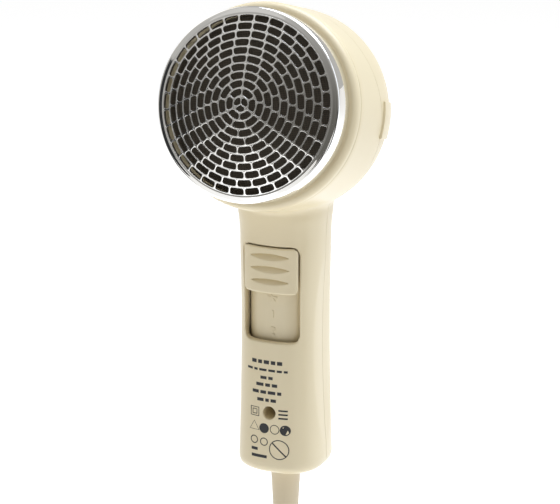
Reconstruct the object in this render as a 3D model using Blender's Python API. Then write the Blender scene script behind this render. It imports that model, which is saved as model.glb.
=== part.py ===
"""Hand-held hair dryer: housing shells, filter cap, fan, motor, heater, switch and mains lead.

The handle's centre line is the Z axis and the hand grips it at the origin.  The barrel crosses the
handle's line BARREL_HEIGHT above that, and tips its outlet down by BARREL_TILT.  Barrel pieces are
modelled in the barrel's own frame: Y along its axis from the intake towards the outlet, with y = 0
where the two centre lines cross.
"""
import math

import bmesh
import bpy
from mathutils import Matrix, Vector

# ---- driving dimensions, metres -------------------------------------------------------------
GAP = 0.0003                       # between pieces that touch

BARREL_HEIGHT = 0.100              # barrel axis above the grip centre, on the handle's line
BARREL_TILT = math.radians(15.0)   # outlet points down by this much
DRUM_RADIUS = 0.0420
WALL = 0.0022                      # moulded shell wall
INTAKE_RIM_Y = -0.0384             # plane of the chrome rim
DRUM_START_Y = -0.0247             # drum begins here, behind it sits the filter cap
DRUM_FULL_Y = 0.0010               # drum keeps its full radius up to here
SHELL_END_Y = 0.0456               # front edge of the moulded nozzle
SHELL_END_RADIUS = 0.0258
OUTLET_RING_LENGTH = 0.0042
TRIM_Y = 0.0012                    # rear edge of the raised pads on the flanks
TRIM_LENGTH = 0.0110
TRIM_HEIGHT = 0.0152
TRIM_PROUD = 0.0010

CAP_RADIUS = 0.0390                # chrome cap
CAP_WALL = 0.0013
CAP_DEPTH = 0.0083
DOME_RISE = 0.0054
DOME_RADIUS = 0.0360
DOME_EDGE = 0.0036                 # the dome's edge stands this far out from the rim's plane
GRILLE_BANDS = 9
GRILLE_SECTORS = 30
CAP_RING_WALL = 0.0015
LIP_SKIRT = 0.0056                 # how far the cap ring plugs into the drum

GRIP_HALF = 0.0176                 # handle half width at its slimmest
FOOT_HALF = 0.0189                 # handle half width at its foot
HANDLE_FOOT_Z = -0.0525
SLIMMEST_Z = 0.020
FLARE_HEIGHT = 0.0120              # the handle widens over this much below the drum
FLARE_OUT = 0.0024
FLARE_START_OUT = 0.0004
FOOT_CROWN = 0.0025
SQUARENESS = 2.6                   # superellipse exponent of the handle's section

WINDOW_WIDTH = 0.0244              # switch window in the rear shell
WINDOW_TOP = 0.0461
WINDOW_BOTTOM = 0.0046
SLIDER_HEIGHT = 0.0198
SLIDER_TRAVEL = 0.0205
SLIDER_PROUD = 0.0006
GROOVE_SHARE = 0.35                # half length of a finger groove, of the window's width
GROOVE_DEPTH = 0.0019
PANEL_DEPTH = 0.0034               # switch panel below the handle's skin
PANEL_THICK = 0.0014
TONGUE_WIDTH = 0.0007              # the slider's tongues pass the panel on both sides
TONGUE_HEIGHT = 0.0090
CARRIER_BACK = -0.0072             # rear face of the carrier, just clear of the panel
SWITCH_FACE = -0.0050              # rear face of the switch
SWITCH_THICK = 0.0090
SWITCH_END = 0.0080                # switch body beyond the pin's travel, at both ends
SLOT_END = 0.0020                  # its slot beyond the pin's travel
TAB_LENGTH = 0.0060                # blade terminals

FAN_RADIUS = 0.0320
FAN_BLADES = 9
FAN_Y = -0.0170                    # middle of the impeller
FAN_LENGTH = 0.0110
DUCT_CLEARANCE = 0.0010
DUCT_WALL = 0.0014
DUCT_VANES = 5
BUSH_SPACE = 0.0014                # between the motor can and its sleeve, filled by two bushes
BLADE_THICK = 0.0011
HUB_RADIUS = 0.0120
MOTOR_RADIUS = 0.0140
MOTOR_Y = -0.0095                  # rear face of the motor can
MOTOR_LENGTH = 0.0210
SHAFT_RADIUS = 0.0011
COMMUTATOR_RADIUS = 0.0032
RUNNING_GAP = 0.00008

HEATER_Y = 0.0225
HEATER_LENGTH = 0.0180
HEATER_RADIUS = 0.0178
MICA = 0.0006
COIL_TURNS = 3
COIL_LENGTH = 0.0065

SCREW_Z = -0.0265
SCREW_HEAD_RADIUS = 0.0026
SCREW_RADIUS = 0.0014
SCREW_SEAT_Y = -0.0062             # the sunk tube's shoulder, under the screw's head
CLAMP_Z = -0.0400
CLAMP_SCREW_X = 0.0085
CLAMP_THICK = 0.0034
CLAMP_HEIGHT = 0.0060
CABLE_END_Z = CLAMP_Z + 0.0055     # the cable's sheath ends here

CORD_RADIUS = 0.0035
RELIEF_LENGTH = 0.0440
RELIEF_TOP_RADIUS = 0.0064
RELIEF_FLANGE = 0.0078
RELIEF_NECK = 0.0057               # hole in the foot
FLANGE_THICK = 0.0026
COLLAR_HEIGHT = 0.0024
RELIEF_END_RADIUS = 0.0044
HANK_TOP_Z = -0.1370
HANK_LENGTH = 0.1560
HANK_WIDTH = 0.0660
HANK_WAIST = 0.0340
HANK_DEPTH = 0.0225
TIE_WIDTH = 0.0120
TIE_THICK = 0.0012
PLUG_TOP_Z = -0.3010
PLUG_X = 0.0255                     # the plug hangs below the hank's right side
PLUG_Y = 0.0072                     # in line with the hank's front layer of cord
PLUG_LENGTH = 0.0360
PLUG_RADIUS = 0.0128
PIN_LENGTH = 0.0190
PIN_SEAT = 0.0060                  # how far a pin reaches into the plug
PIN_RADIUS = 0.0020
PIN_SPACING = 0.0186
# centre lines of the two ends of the lead that stand clear of the hank
CORD_ROUTE = [(0.0000, 0.0000, -0.0993), (0.0000, -0.0002, -0.1030), (0.0000, -0.0008, -0.1075),
              (0.0000, -0.0020, -0.1125), (0.0000, -0.0036, -0.1180), (0.0000, -0.0052, -0.1235),
              (0.0000, -0.0064, -0.1285), (0.0000, -0.0071, -0.1330), (0.0000, -0.0072, -0.1367)]
TAIL_ROUTE = [(0.0259, 0.0072, -0.2882), (0.0257, 0.0072, -0.2910), (0.0256, 0.0072, -0.2940),
              (0.0255, 0.0072, -0.2972), (0.0255, 0.0072, -0.3007)]

ROUND = 44                         # sides of the large turned pieces
SMALL = 20                         # sides of the small turned pieces

BARREL = Matrix.Translation((0, 0, BARREL_HEIGHT)) @ Matrix.Rotation(-BARREL_TILT, 4, "X")
UPRIGHT = Matrix.Identity(4)


# ---- materials --------------------------------------------------------------------------------
def finish(name, colour, roughness, metallic=0.0):
    material = bpy.data.materials.new(name)
    material.use_nodes = True
    shader = material.node_tree.nodes["Principled BSDF"]
    shader.inputs["Base Color"].default_value = (*colour, 1.0)
    shader.inputs["Roughness"].default_value = roughness
    shader.inputs["Metallic"].default_value = metallic
    return material


# ---- making solids ----------------------------------------------------------------------------
def make(name, mesh_builder, material, place=UPRIGHT, smooth=False):
    """One named object from a bmesh, at the given place."""
    mesh = bpy.data.meshes.new(name)
    bmesh.ops.remove_doubles(mesh_builder, verts=mesh_builder.verts, dist=1e-6)
    bmesh.ops.recalc_face_normals(mesh_builder, faces=mesh_builder.faces)
    bmesh.ops.triangulate(mesh_builder, faces=mesh_builder.faces[:])
    mesh_builder.to_mesh(mesh)
    mesh_builder.free()
    for face in mesh.polygons:
        face.use_smooth = smooth
    mesh.materials.append(material)
    thing = bpy.data.objects.new(name, mesh)
    bpy.context.scene.collection.objects.link(thing)
    thing.matrix_world = place
    return thing


def turned(profile, sides=ROUND, axis="Y"):
    """A bmesh turned from a closed outline of (radius, along) points."""
    shape = bmesh.new()
    if axis == "Y":
        corners = [shape.verts.new((radius, along, 0)) for radius, along in profile]
        spin_axis = (0, 1, 0)
    else:
        corners = [shape.verts.new((radius, 0, along)) for radius, along in profile]
        spin_axis = (0, 0, 1)
    count = len(corners)
    edges = [shape.edges.new((corners[i], corners[(i + 1) % count])) for i in range(count)
             if profile[i][0] > 0 or profile[(i + 1) % count][0] > 0]
    bmesh.ops.spin(shape, geom=corners + edges, cent=(0, 0, 0), axis=spin_axis,
                   angle=2 * math.pi, steps=sides, use_merge=True)
    bmesh.ops.remove_doubles(shape, verts=shape.verts, dist=1e-6)
    return shape


def tube(inner, outer, start, end, sides=SMALL, axis="Y"):
    return turned([(inner, start), (outer, start), (outer, end), (inner, end)], sides, axis)


def rod(radius, start, end, sides=SMALL, axis="Y"):
    return turned([(0, start), (radius, start), (radius, end), (0, end)], sides, axis)


def block(size, centre, bevel=0.0):
    shape = bmesh.new()
    bmesh.ops.create_cube(shape, size=1.0)
    bmesh.ops.scale(shape, vec=size, verts=shape.verts)
    if bevel:
        bmesh.ops.bevel(shape, geom=shape.edges[:], offset=bevel, offset_type="OFFSET",
                        affect="EDGES", segments=2, profile=0.5, material=-1)
    bmesh.ops.translate(shape, vec=centre, verts=shape.verts)
    return shape


def combine(target, tool, operation):
    """Join, cut or intersect one object with another, which is used up.  Flat triangles keep it exact."""
    step = target.modifiers.new("shape", "BOOLEAN")
    step.operation = operation
    step.solver = "EXACT"
    step.object = tool
    with bpy.context.temp_override(object=target, active_object=target):
        bpy.ops.object.modifier_apply(modifier=step.name)
    bpy.data.objects.remove(tool)
    flat = bmesh.new()
    flat.from_mesh(target.data)
    bmesh.ops.remove_doubles(flat, verts=flat.verts, dist=1e-6)
    bmesh.ops.dissolve_degenerate(flat, edges=flat.edges[:], dist=1e-7)
    bmesh.ops.triangulate(flat, faces=flat.faces[:])
    flat.to_mesh(target.data)
    flat.free()


def cut(target, *tools):
    for tool in tools:
        combine(target, tool, "DIFFERENCE")


def join(target, *tools):
    for tool in tools:
        combine(target, tool, "UNION")


# ---- the handle's section and the shell's outline ---------------------------------------------
def handle_half(z):
    """Half width of the handle at height z: flared under the drum, slim at the grip, wider foot."""
    neck_z = BARREL_HEIGHT - DRUM_RADIUS
    flare_z = neck_z - FLARE_HEIGHT
    if z > flare_z:
        rise = (z - flare_z) / FLARE_HEIGHT
        return GRIP_HALF + FLARE_START_OUT + FLARE_OUT * rise * rise
    if z > SLIMMEST_Z:
        return GRIP_HALF + FLARE_START_OUT * (z - SLIMMEST_Z) / (flare_z - SLIMMEST_Z)
    fall = min(1.0, (SLIMMEST_Z - z) / (SLIMMEST_Z - HANDLE_FOOT_Z))
    return GRIP_HALF + (FOOT_HALF - GRIP_HALF) * fall * fall


def section(half, z, sides=32):
    """Points of the rounded-square section, evenly turned."""
    points = []
    for i in range(sides):
        angle = 2 * math.pi * (i + 0.5) / sides
        c = math.cos(angle)
        s = math.sin(angle)
        reach = (abs(c) ** SQUARENESS + abs(s) ** SQUARENESS) ** (-1 / SQUARENESS)
        points.append(Vector((half * reach * c, half * reach * s, z)))
    return points


def rear_face(half, x):
    """How far back the section reaches at x."""
    return -half * (1 - abs(x / half) ** SQUARENESS) ** (1 / SQUARENESS)


def lofted(levels):
    """A closed solid through (half width, z) levels of the handle's section."""
    shape = bmesh.new()
    rings = [[shape.verts.new(p) for p in section(half, z)] for half, z in levels]
    for low, high in zip(rings, rings[1:]):
        for i in range(len(low)):
            j = (i + 1) % len(low)
            shape.faces.new((low[i], low[j], high[j], high[i]))
    shape.faces.new(rings[0])
    shape.faces.new(rings[-1])
    return shape


def handle_levels(inset):
    """Levels from the crowned foot up into the drum, drawn in by an inset."""
    top = BARREL_HEIGHT - DRUM_RADIUS + 0.016
    crown = [(0.55, FOOT_CROWN), (0.86, 0.45 * FOOT_CROWN), (0.97, 0.0)]
    levels = []
    for share, drop in crown:
        levels.append((FOOT_HALF * share - inset, HANDLE_FOOT_Z - drop + inset))
    heights = [HANDLE_FOOT_Z + 0.0035, -0.030, -0.008, SLIMMEST_Z, 0.046, 0.052, 0.058]
    for z in heights:
        levels.append((handle_half(z) - inset, max(z, levels[-1][1] + 0.001)))
    levels.append((handle_half(heights[-1]) + 0.001 - inset, top))
    return levels


def funnel(start_y, start_radius, inset=0.0):
    """Outline of the shoulder, from the drum's full radius down to the nozzle."""
    shares = [(0.12, 0.98), (0.24, 0.91), (0.36, 0.79), (0.48, 0.63), (0.62, 0.42), (0.80, 0.17),
              (1.0, 0.0)]
    length = SHELL_END_Y - start_y
    drop = start_radius - SHELL_END_RADIUS
    return [(SHELL_END_RADIUS + drop * share - inset, start_y + along * length)
            for along, share in shares]


def housing(material):
    """Drum, shoulder, nozzle and handle as one hollow shell, before it is split in two."""
    skin = [(0, DRUM_START_Y), (DRUM_RADIUS - 0.0004, DRUM_START_Y), (DRUM_RADIUS, DRUM_START_Y + 0.0005),
            (DRUM_RADIUS, DRUM_FULL_Y)]
    skin += funnel(DRUM_FULL_Y, DRUM_RADIUS) + [(0, SHELL_END_Y)]
    hollow = [(0, DRUM_START_Y - 0.01), (DRUM_RADIUS - WALL, DRUM_START_Y - 0.01),
              (DRUM_RADIUS - WALL, DRUM_FULL_Y - 0.0005)]
    hollow += funnel(DRUM_FULL_Y, DRUM_RADIUS, WALL)
    hollow += [(SHELL_END_RADIUS - WALL, SHELL_END_Y + 0.01), (0, SHELL_END_Y + 0.01)]
    shell = make("shell", turned(skin), material, BARREL, True)
    join(shell, make("handle", lofted(handle_levels(0.0)), material, UPRIGHT, True))
    inside = make("inside", turned(hollow), material, BARREL)
    join(inside, make("handle_inside", lofted(handle_levels(WALL)), material))
    cut(shell, inside)
    cut(shell, make("cord_hole", rod(RELIEF_NECK, -0.070, -0.040, SMALL, "Z"), material))
    return shell


def window_cutter(material):
    """Rounded rectangle through the rear of the handle, for the slider."""
    height = WINDOW_TOP - WINDOW_BOTTOM
    shape = block((WINDOW_WIDTH, 0.020, height), (0, -0.014, (WINDOW_TOP + WINDOW_BOTTOM) / 2))
    across = [e for e in shape.edges
              if abs(e.verts[0].co.y - e.verts[1].co.y) > 0.001]
    bmesh.ops.bevel(shape, geom=across, offset=0.0022, offset_type="OFFSET", affect="EDGES",
                    segments=4, profile=0.5, material=-1)
    return make("window", shape, material)


def split_shells(material):
    """The housing parted on the plane through the handle's line into a rear and a front shell."""
    shell = housing(material)
    front = shell.copy()
    front.data = shell.data.copy()
    bpy.context.scene.collection.objects.link(front)
    shell.name = "rear_shell"
    front.name = "front_shell"
    half = 0.200
    cut(shell, make("ahead", block((2 * half, half, 4 * half), (0, half / 2 - GAP / 2, 0)), material))
    cut(front, make("behind", block((2 * half, half, 4 * half), (0, -half / 2 + GAP / 2, 0)), material))
    cut(shell, window_cutter(material))
    return shell, front


def screw_bosses(rear, front, material):
    """The handle screw's tubes: a sunk one in the rear shell and a pilot in the front shell."""
    place = Matrix.Translation((0, 0, SCREW_Z))
    reach = handle_half(SCREW_Z) - WALL / 2
    join(rear, make("sunk", rod(SCREW_HEAD_RADIUS + 0.0017, -reach, -GAP), material, place))
    cut(rear, make("mouth", rod(SCREW_HEAD_RADIUS + 0.0002, -0.030, SCREW_SEAT_Y), material, place))
    cut(rear, make("way", rod(SCREW_RADIUS + 0.0003, SCREW_SEAT_Y - 0.001, 0.002), material, place))
    join(front, make("post", rod(0.0034, GAP, reach), material, place))
    cut(front, make("pilot", rod(SCREW_RADIUS + 0.0001, -0.001, 0.0105), material, place))
    for side in (-1, 1):
        spot = Matrix.Translation((side * CLAMP_SCREW_X, 0, CLAMP_Z))
        clamp_reach = handle_half(CLAMP_Z) * 0.86
        join(front, make("clamp_post", rod(0.0026, GAP, clamp_reach, 12), material, spot))
        cut(front, make("clamp_pilot", rod(0.0011, -0.001, 0.0080, 12), material, spot))


def handle_screw(steel):
    place = Matrix.Translation((0, 0, SCREW_Z))
    head_y = SCREW_SEAT_Y - GAP
    outline = [(0, head_y - 0.0018), (SCREW_HEAD_RADIUS * 0.75, head_y - 0.0018),
               (SCREW_HEAD_RADIUS, head_y - 0.0010), (SCREW_HEAD_RADIUS, head_y),
               (SCREW_RADIUS, head_y), (SCREW_RADIUS, 0.0095), (0, 0.0100)]
    screw = make("handle_screw", turned(outline, SMALL), steel, place, True)
    for size in ((0.0032, 0.0016, 0.0007), (0.0007, 0.0016, 0.0032)):
        cut(screw, make("drive", block(size, (0, head_y - 0.0018, 0)), steel, place))


# ---- filter cap: chrome grille, ring and mesh ---------------------------------------------------
def grille_outline():
    """(radius, along) from the middle of the dome over the rim and down the cap's side wall."""
    points = [(0.0, INTAKE_RIM_Y - DOME_EDGE - DOME_RISE)]
    for i in range(1, GRILLE_BANDS + 1):
        radius = DOME_RADIUS * i / GRILLE_BANDS
        lift = 1 - (radius / DOME_RADIUS) ** 2
        points.append((radius, INTAKE_RIM_Y - DOME_EDGE - DOME_RISE * lift))
    points += [(CAP_RADIUS - 0.0014, INTAKE_RIM_Y - 0.0018), (CAP_RADIUS, INTAKE_RIM_Y + 0.0006),
               (CAP_RADIUS, INTAKE_RIM_Y + CAP_DEPTH)]
    return points


def intake_grille(chrome):
    """Domed chrome grille and its side wall: one pressed skin with rings of slots."""
    shape = bmesh.new()
    line = [shape.verts.new((radius, along, 0)) for radius, along in grille_outline()]
    edges = [shape.edges.new(pair) for pair in zip(line, line[1:])]
    bmesh.ops.spin(shape, geom=line + edges, cent=(0, 0, 0), axis=(0, 1, 0), angle=2 * math.pi,
                   steps=GRILLE_SECTORS, use_merge=True)
    bmesh.ops.remove_doubles(shape, verts=shape.verts, dist=1e-6)
    open_faces = []
    for face in shape.faces:
        middle = face.calc_center_median()
        band = int(math.hypot(middle.x, middle.z) / DOME_RADIUS * GRILLE_BANDS)
        sector = int((math.atan2(middle.z, middle.x) / (2 * math.pi) % 1.0) * GRILLE_SECTORS)
        if band in (1, 3, 5, 7) and sector % 3 != 0:
            open_faces.append(face)
    bmesh.ops.delete(shape, geom=open_faces, context="FACES")
    grille = make("intake_grille", shape, chrome, BARREL, True)
    wall = grille.modifiers.new("wall", "SOLIDIFY")
    wall.thickness = CAP_WALL
    wall.offset = -1.0
    wall.use_even_offset = True
    return grille


def cap_ring(cream):
    """Cream ring that carries the grille and plugs into the drum."""
    inner = CAP_RADIUS - CAP_WALL - GAP - CAP_RING_WALL
    spigot = CAP_RADIUS - CAP_WALL - GAP
    groove_y = INTAKE_RIM_Y + CAP_DEPTH + GAP
    lip_y = groove_y + 0.0009
    seam_y = DRUM_START_Y - GAP
    plug = DRUM_RADIUS - WALL - GAP
    outline = [(inner, INTAKE_RIM_Y + 0.0020), (spigot, INTAKE_RIM_Y + 0.0020), (spigot, groove_y),
               (CAP_RADIUS - 0.0006, groove_y), (CAP_RADIUS - 0.0006, lip_y),
               (CAP_RADIUS + 0.0006, lip_y),
               (CAP_RADIUS + 0.0021, lip_y + 0.0010), (DRUM_RADIUS, lip_y + 0.0027), (DRUM_RADIUS, seam_y),
               (plug, seam_y), (plug, seam_y + LIP_SKIRT), (inner, seam_y + LIP_SKIRT)]
    return make("cap_ring", turned(outline), cream, BARREL, True)


def intake_filter(mesh_cloth):
    radius = CAP_RADIUS - CAP_WALL - GAP - CAP_RING_WALL - GAP
    return make("intake_filter", rod(radius, INTAKE_RIM_Y + 0.0030, INTAKE_RIM_Y + 0.0038, 36),
                mesh_cloth, BARREL)


def side_trims(cream):
    """Small raised pads on the shoulder's flanks, just ahead of the drum."""
    front = TRIM_Y + TRIM_LENGTH
    seat = [(0, DRUM_START_Y), (DRUM_RADIUS + GAP, DRUM_START_Y), (DRUM_RADIUS + GAP, DRUM_FULL_Y)]
    seat += funnel(DRUM_FULL_Y, DRUM_RADIUS, -GAP) + [(0, SHELL_END_Y)]
    for side, name in ((-1, "side_trim_left"), (1, "side_trim_right")):
        centre = (side * (DRUM_RADIUS + TRIM_PROUD - 0.0025), (TRIM_Y + front) / 2, -0.0005)
        trim = make(name, block((0.0050, TRIM_LENGTH, TRIM_HEIGHT), centre, 0.0004), cream, BARREL)
        cut(trim, make("seat", turned(seat), cream, BARREL))


# ---- air path: duct, fan, motor -----------------------------------------------------------------
def fan_duct(plastic):
    """Duct round the fan, with vanes that hold the motor's sleeve."""
    inner = FAN_RADIUS + DUCT_CLEARANCE
    outer = inner + DUCT_WALL
    flange = DRUM_RADIUS - WALL - GAP
    start = FAN_Y - FAN_LENGTH / 2 - 0.0015
    end = MOTOR_Y + 0.0130
    outline = [(inner, start), (outer, start), (outer, -0.0080), (flange, -0.0080), (flange, -0.0062),
               (outer, -0.0062), (outer, end), (inner, end)]
    duct = make("fan_duct", turned(outline, 32), plastic, BARREL, True)
    sleeve_inner = MOTOR_RADIUS + BUSH_SPACE
    sleeve = tube(sleeve_inner, sleeve_inner + DUCT_WALL, MOTOR_Y + 0.0008, end)
    join(duct, make("sleeve", sleeve, plastic, BARREL))
    span = inner - sleeve_inner
    for i in range(DUCT_VANES):
        middle = (sleeve_inner + (DUCT_WALL + span) / 2, MOTOR_Y + 0.0075, 0)
        vane = block((span, 0.0090, DUCT_WALL), middle)
        turn = Matrix.Rotation(2 * math.pi * (i + 0.25) / DUCT_VANES, 4, "Y")
        join(duct, make("vane", vane, plastic, BARREL @ turn))
    return duct


def fan_impeller(plastic):
    """Hub with curved blades."""
    rear = FAN_Y - FAN_LENGTH / 2
    front = FAN_Y + FAN_LENGTH / 2
    bore = SHAFT_RADIUS + RUNNING_GAP
    outline = [(bore, rear - 0.0010), (HUB_RADIUS / 2, rear - 0.0010), (HUB_RADIUS - 0.0020, rear + 0.0010),
               (HUB_RADIUS, rear + 0.0035), (HUB_RADIUS, front - 0.0004), (bore, front - 0.0004)]
    impeller = make("fan_impeller", turned(outline, 27), plastic, BARREL, True)
    for i in range(FAN_BLADES):
        blade = bmesh.new()
        bmesh.ops.create_grid(blade, x_segments=2, y_segments=3, size=0.5)
        for corner in blade.verts:
            reach = corner.co.x + 0.5
            along = corner.co.y + 0.5
            radius = HUB_RADIUS - 0.0010 + (FAN_RADIUS - HUB_RADIUS + 0.0010) * reach
            sweep = 0.50 * (along - 0.5) * (1.15 - 0.45 * reach) + 0.10 * along * along
            y = front - 0.0012 - along * (FAN_LENGTH - 0.0024)
            corner.co = (radius * math.cos(sweep), y, radius * math.sin(sweep))
        bmesh.ops.recalc_face_normals(blade, faces=blade.faces)
        bmesh.ops.solidify(blade, geom=blade.faces[:], thickness=BLADE_THICK)
        turn = Matrix.Rotation(2 * math.pi * i / FAN_BLADES, 4, "Y")
        join(impeller, make("blade", blade, plastic, BARREL @ turn))
    trim = tube(FAN_RADIUS, FAN_RADIUS + 0.010, rear - 0.01, front + 0.01, 54)
    cut(impeller, make("trim", trim, plastic, BARREL))
    return impeller


def motor(steel, black, magnet, copper, brass, carbon, rubber):
    """Small direct-current motor: can, end cap, magnets, armature, commutator, brushes and shaft."""
    end_y = MOTOR_Y + MOTOR_LENGTH
    bore = SHAFT_RADIUS + RUNNING_GAP
    can_wall = 0.0010
    inside = MOTOR_RADIUS - can_wall
    can = [(bore, MOTOR_Y), (MOTOR_RADIUS - 0.0012, MOTOR_Y), (MOTOR_RADIUS, MOTOR_Y + 0.0012),
           (MOTOR_RADIUS, end_y), (inside, end_y), (inside, MOTOR_Y + can_wall),
           (bore, MOTOR_Y + can_wall)]
    make("motor_can", turned(can, 32), steel, BARREL, True)
    cap_radius = MOTOR_RADIUS - 0.0006
    cap = [(bore, end_y + GAP), (cap_radius, end_y + GAP), (cap_radius, end_y + 0.0024),
           (0.0050, end_y + 0.0024), (0.0050, end_y + 0.0040), (bore, end_y + 0.0040)]
    make("motor_end_cap", turned(cap, 32), black, BARREL, True)
    shaft = rod(SHAFT_RADIUS, FAN_Y - FAN_LENGTH / 2 - 0.0020, end_y + 0.0048, 16)
    make("motor_shaft", shaft, steel, BARREL, True)
    core = tube(bore, 0.0085, MOTOR_Y + 0.0045, MOTOR_Y + 0.0150, 24)
    make("armature", core, copper, BARREL, True)
    drum = tube(bore, COMMUTATOR_RADIUS, MOTOR_Y + 0.0160, MOTOR_Y + 0.0200, 18)
    make("commutator", drum, brass, BARREL, True)
    for side, name in ((-1, "left"), (1, "right")):
        sleeve = tube(0.0092, inside - GAP, MOTOR_Y + 0.0030, MOTOR_Y + 0.0156, 24)
        arc = make("magnet_" + name, sleeve, magnet, BARREL, True)
        keep = block((0.020, 0.040, 0.020), (side * 0.0115, MOTOR_Y + 0.010, 0))
        combine(arc, make("keep", keep, magnet, BARREL), "INTERSECT")
        brush_x = side * (COMMUTATOR_RADIUS + GAP + 0.0030)
        brush = block((0.0060, 0.0030, 0.0024), (brush_x, MOTOR_Y + 0.0180, 0))
        make("brush_" + name, brush, carbon, BARREL)
    for y, name in ((MOTOR_Y + 0.0022, "rear"), (MOTOR_Y + 0.0098, "front")):
        ring = tube(MOTOR_RADIUS + GAP, MOTOR_RADIUS + BUSH_SPACE - GAP, y, y + 0.0025, 28)
        make("motor_bush_" + name, ring, rubber, BARREL, True)


def rectifier(board, black):
    """Board behind the motor that turns the mains into direct current."""
    y = MOTOR_Y + MOTOR_LENGTH + 0.0056
    top = y + 0.0012
    make("rectifier_board", rod(0.0125, y, top, 28), board, BARREL)
    bridge = block((0.0080, 0.0030, 0.0080), (0, top + GAP + 0.0015, 0.0050), 0.0004)
    make("rectifier_bridge", bridge, black, BARREL)


# ---- heater and outlet ----------------------------------------------------------------------------
def heater(mica, nichrome, steel, white):
    """Crossed mica boards in a mica tube, wound with resistance wire."""
    end = HEATER_Y + HEATER_LENGTH
    middle = (0, HEATER_Y + HEATER_LENGTH / 2, 0)
    cross = make("mica_cross", block((2 * HEATER_RADIUS, HEATER_LENGTH, MICA), middle), mica, BARREL)
    upright = block((MICA, HEATER_LENGTH, 2 * HEATER_RADIUS), middle)
    join(cross, make("upright", upright, mica, BARREL))
    sleeve_inner = HEATER_RADIUS + 0.0026
    sleeve = tube(sleeve_inner, sleeve_inner + MICA, HEATER_Y - 0.0010, end + 0.0005, 36)
    make("mica_tube", sleeve, mica, BARREL, True)
    steps = COIL_TURNS * 16
    reach = HEATER_RADIUS + 0.0012
    for name, start in (("heater_coil_rear", HEATER_Y + 0.0015), ("heater_coil_front", HEATER_Y + 0.0100)):
        route = []
        for i in range(steps + 1):
            angle = 2 * math.pi * i / 16
            y = start + COIL_LENGTH * i / steps
            route.append((reach * math.cos(angle), y, reach * math.sin(angle)))
        coil = wire(name, route, 0.0005, 0, 1, nichrome)
        coil.matrix_world = BARREL
    thermostat = block((0.0050, 0.0100, 0.0060), (0.0060, HEATER_Y + 0.0090, 0.0060), 0.0003)
    make("thermostat", thermostat, steel, BARREL)
    fuse = rod(0.0018, HEATER_Y + 0.0040, HEATER_Y + 0.0140, 16)
    make("thermal_fuse", fuse, white, BARREL @ Matrix.Translation((-0.0060, 0, -0.0060)), True)


def outlet(black, steel):
    """Heat-resistant ring in the nozzle's mouth and the guard grille inside it."""
    bore = SHELL_END_RADIUS - WALL - 0.0015
    spigot = SHELL_END_RADIUS - WALL - GAP
    end = SHELL_END_Y + OUTLET_RING_LENGTH
    outline = [(bore, SHELL_END_Y - 0.0045), (spigot, SHELL_END_Y - 0.0045), (spigot, SHELL_END_Y + GAP),
               (SHELL_END_RADIUS, SHELL_END_Y + GAP), (SHELL_END_RADIUS, end - 0.0008),
               (SHELL_END_RADIUS - 0.0008, end), (bore, end)]
    make("outlet_ring", turned(outline, 36), black, BARREL, True)
    y = SHELL_END_Y - 0.0040
    guard = make("outlet_grille", tube(bore - 0.0016, bore - GAP, y, y + 0.0016, 24), steel, BARREL, True)
    for radius in (0.0065, 0.0135):
        join(guard, make("ring", tube(radius, radius + 0.0010, y, y + 0.0014, 12), steel, BARREL))
    for i in range(3):
        bar = block((2 * bore - 0.0020, 0.0012, 0.0010), (0, y + 0.0007, 0))
        turn = Matrix.Rotation(math.pi * i / 3, 4, "Y")
        join(guard, make("bar", bar, steel, BARREL @ turn))


# ---- switch -------------------------------------------------------------------------------------
def curved_slab(outer_half, thick, width, low, high, corner):
    """A plate that follows the handle's rear face, with rounded corners."""
    plate = make("plate", lofted([(outer_half, low - 0.01), (outer_half, high + 0.01)]), PLACEHOLDER)
    cut(plate, make("core", lofted([(outer_half - thick, low - 0.02), (outer_half - thick, high + 0.02)]),
                    PLACEHOLDER))
    outline = block((width, 0.030, high - low), (0, -0.015, (high + low) / 2))
    across = [e for e in outline.edges if abs(e.verts[0].co.y - e.verts[1].co.y) > 0.001]
    bmesh.ops.bevel(outline, geom=across, offset=corner, offset_type="OFFSET", affect="EDGES", segments=3,
                    profile=0.5, material=-1)
    combine(plate, make("outline", outline, PLACEHOLDER), "INTERSECT")
    return plate


def dress(thing, name, material):
    thing.name = name
    thing.data.materials.clear()
    thing.data.materials.append(material)
    return thing


def switch_panel(cream):
    """Sunk panel under the window, narrower than it so that the slider's tongues pass on both sides."""
    half = GRIP_HALF - PANEL_DEPTH
    width = WINDOW_WIDTH - 2 * (GAP + TONGUE_WIDTH + GAP)
    panel = curved_slab(half, PANEL_THICK, width, WINDOW_BOTTOM - 0.0014, WINDOW_TOP + 0.0014, 0.0010)
    return dress(panel, "switch_panel", cream)


def slider(cream):
    """Thumb piece with three finger grooves and a tongue down each side, past the panel."""
    half = GRIP_HALF + SLIDER_PROUD
    high = WINDOW_TOP - GAP
    low = high - SLIDER_HEIGHT
    width = WINDOW_WIDTH - 2 * GAP
    thick = SLIDER_PROUD + PANEL_DEPTH - 0.0008
    thumb = curved_slab(half, thick, width, low, high, 0.0020)
    for i in range(3):
        z = high - SLIDER_HEIGHT * (i + 0.72) / 3.4
        groove = bmesh.new()
        bmesh.ops.create_uvsphere(groove, u_segments=12, v_segments=6, radius=1.0)
        reach = (GROOVE_SHARE * WINDOW_WIDTH, GROOVE_DEPTH, GROOVE_DEPTH)
        bmesh.ops.scale(groove, vec=reach, verts=groove.verts)
        bmesh.ops.translate(groove, vec=(0, -half - 0.0004, z), verts=groove.verts)
        cut(thumb, make("groove", groove, cream))
    middle_z = (high + low) / 2
    tip = CARRIER_BACK + 0.0010
    for side in (-1, 1):
        x = side * (width - TONGUE_WIDTH) / 2
        back = rear_face(half - thick / 2, x)
        tongue = block((TONGUE_WIDTH, tip - back, TONGUE_HEIGHT), (x, (tip + back) / 2, middle_z))
        join(thumb, make("tongue", tongue, cream))
    dress(thumb, "slider_button", cream)
    return middle_z


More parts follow.
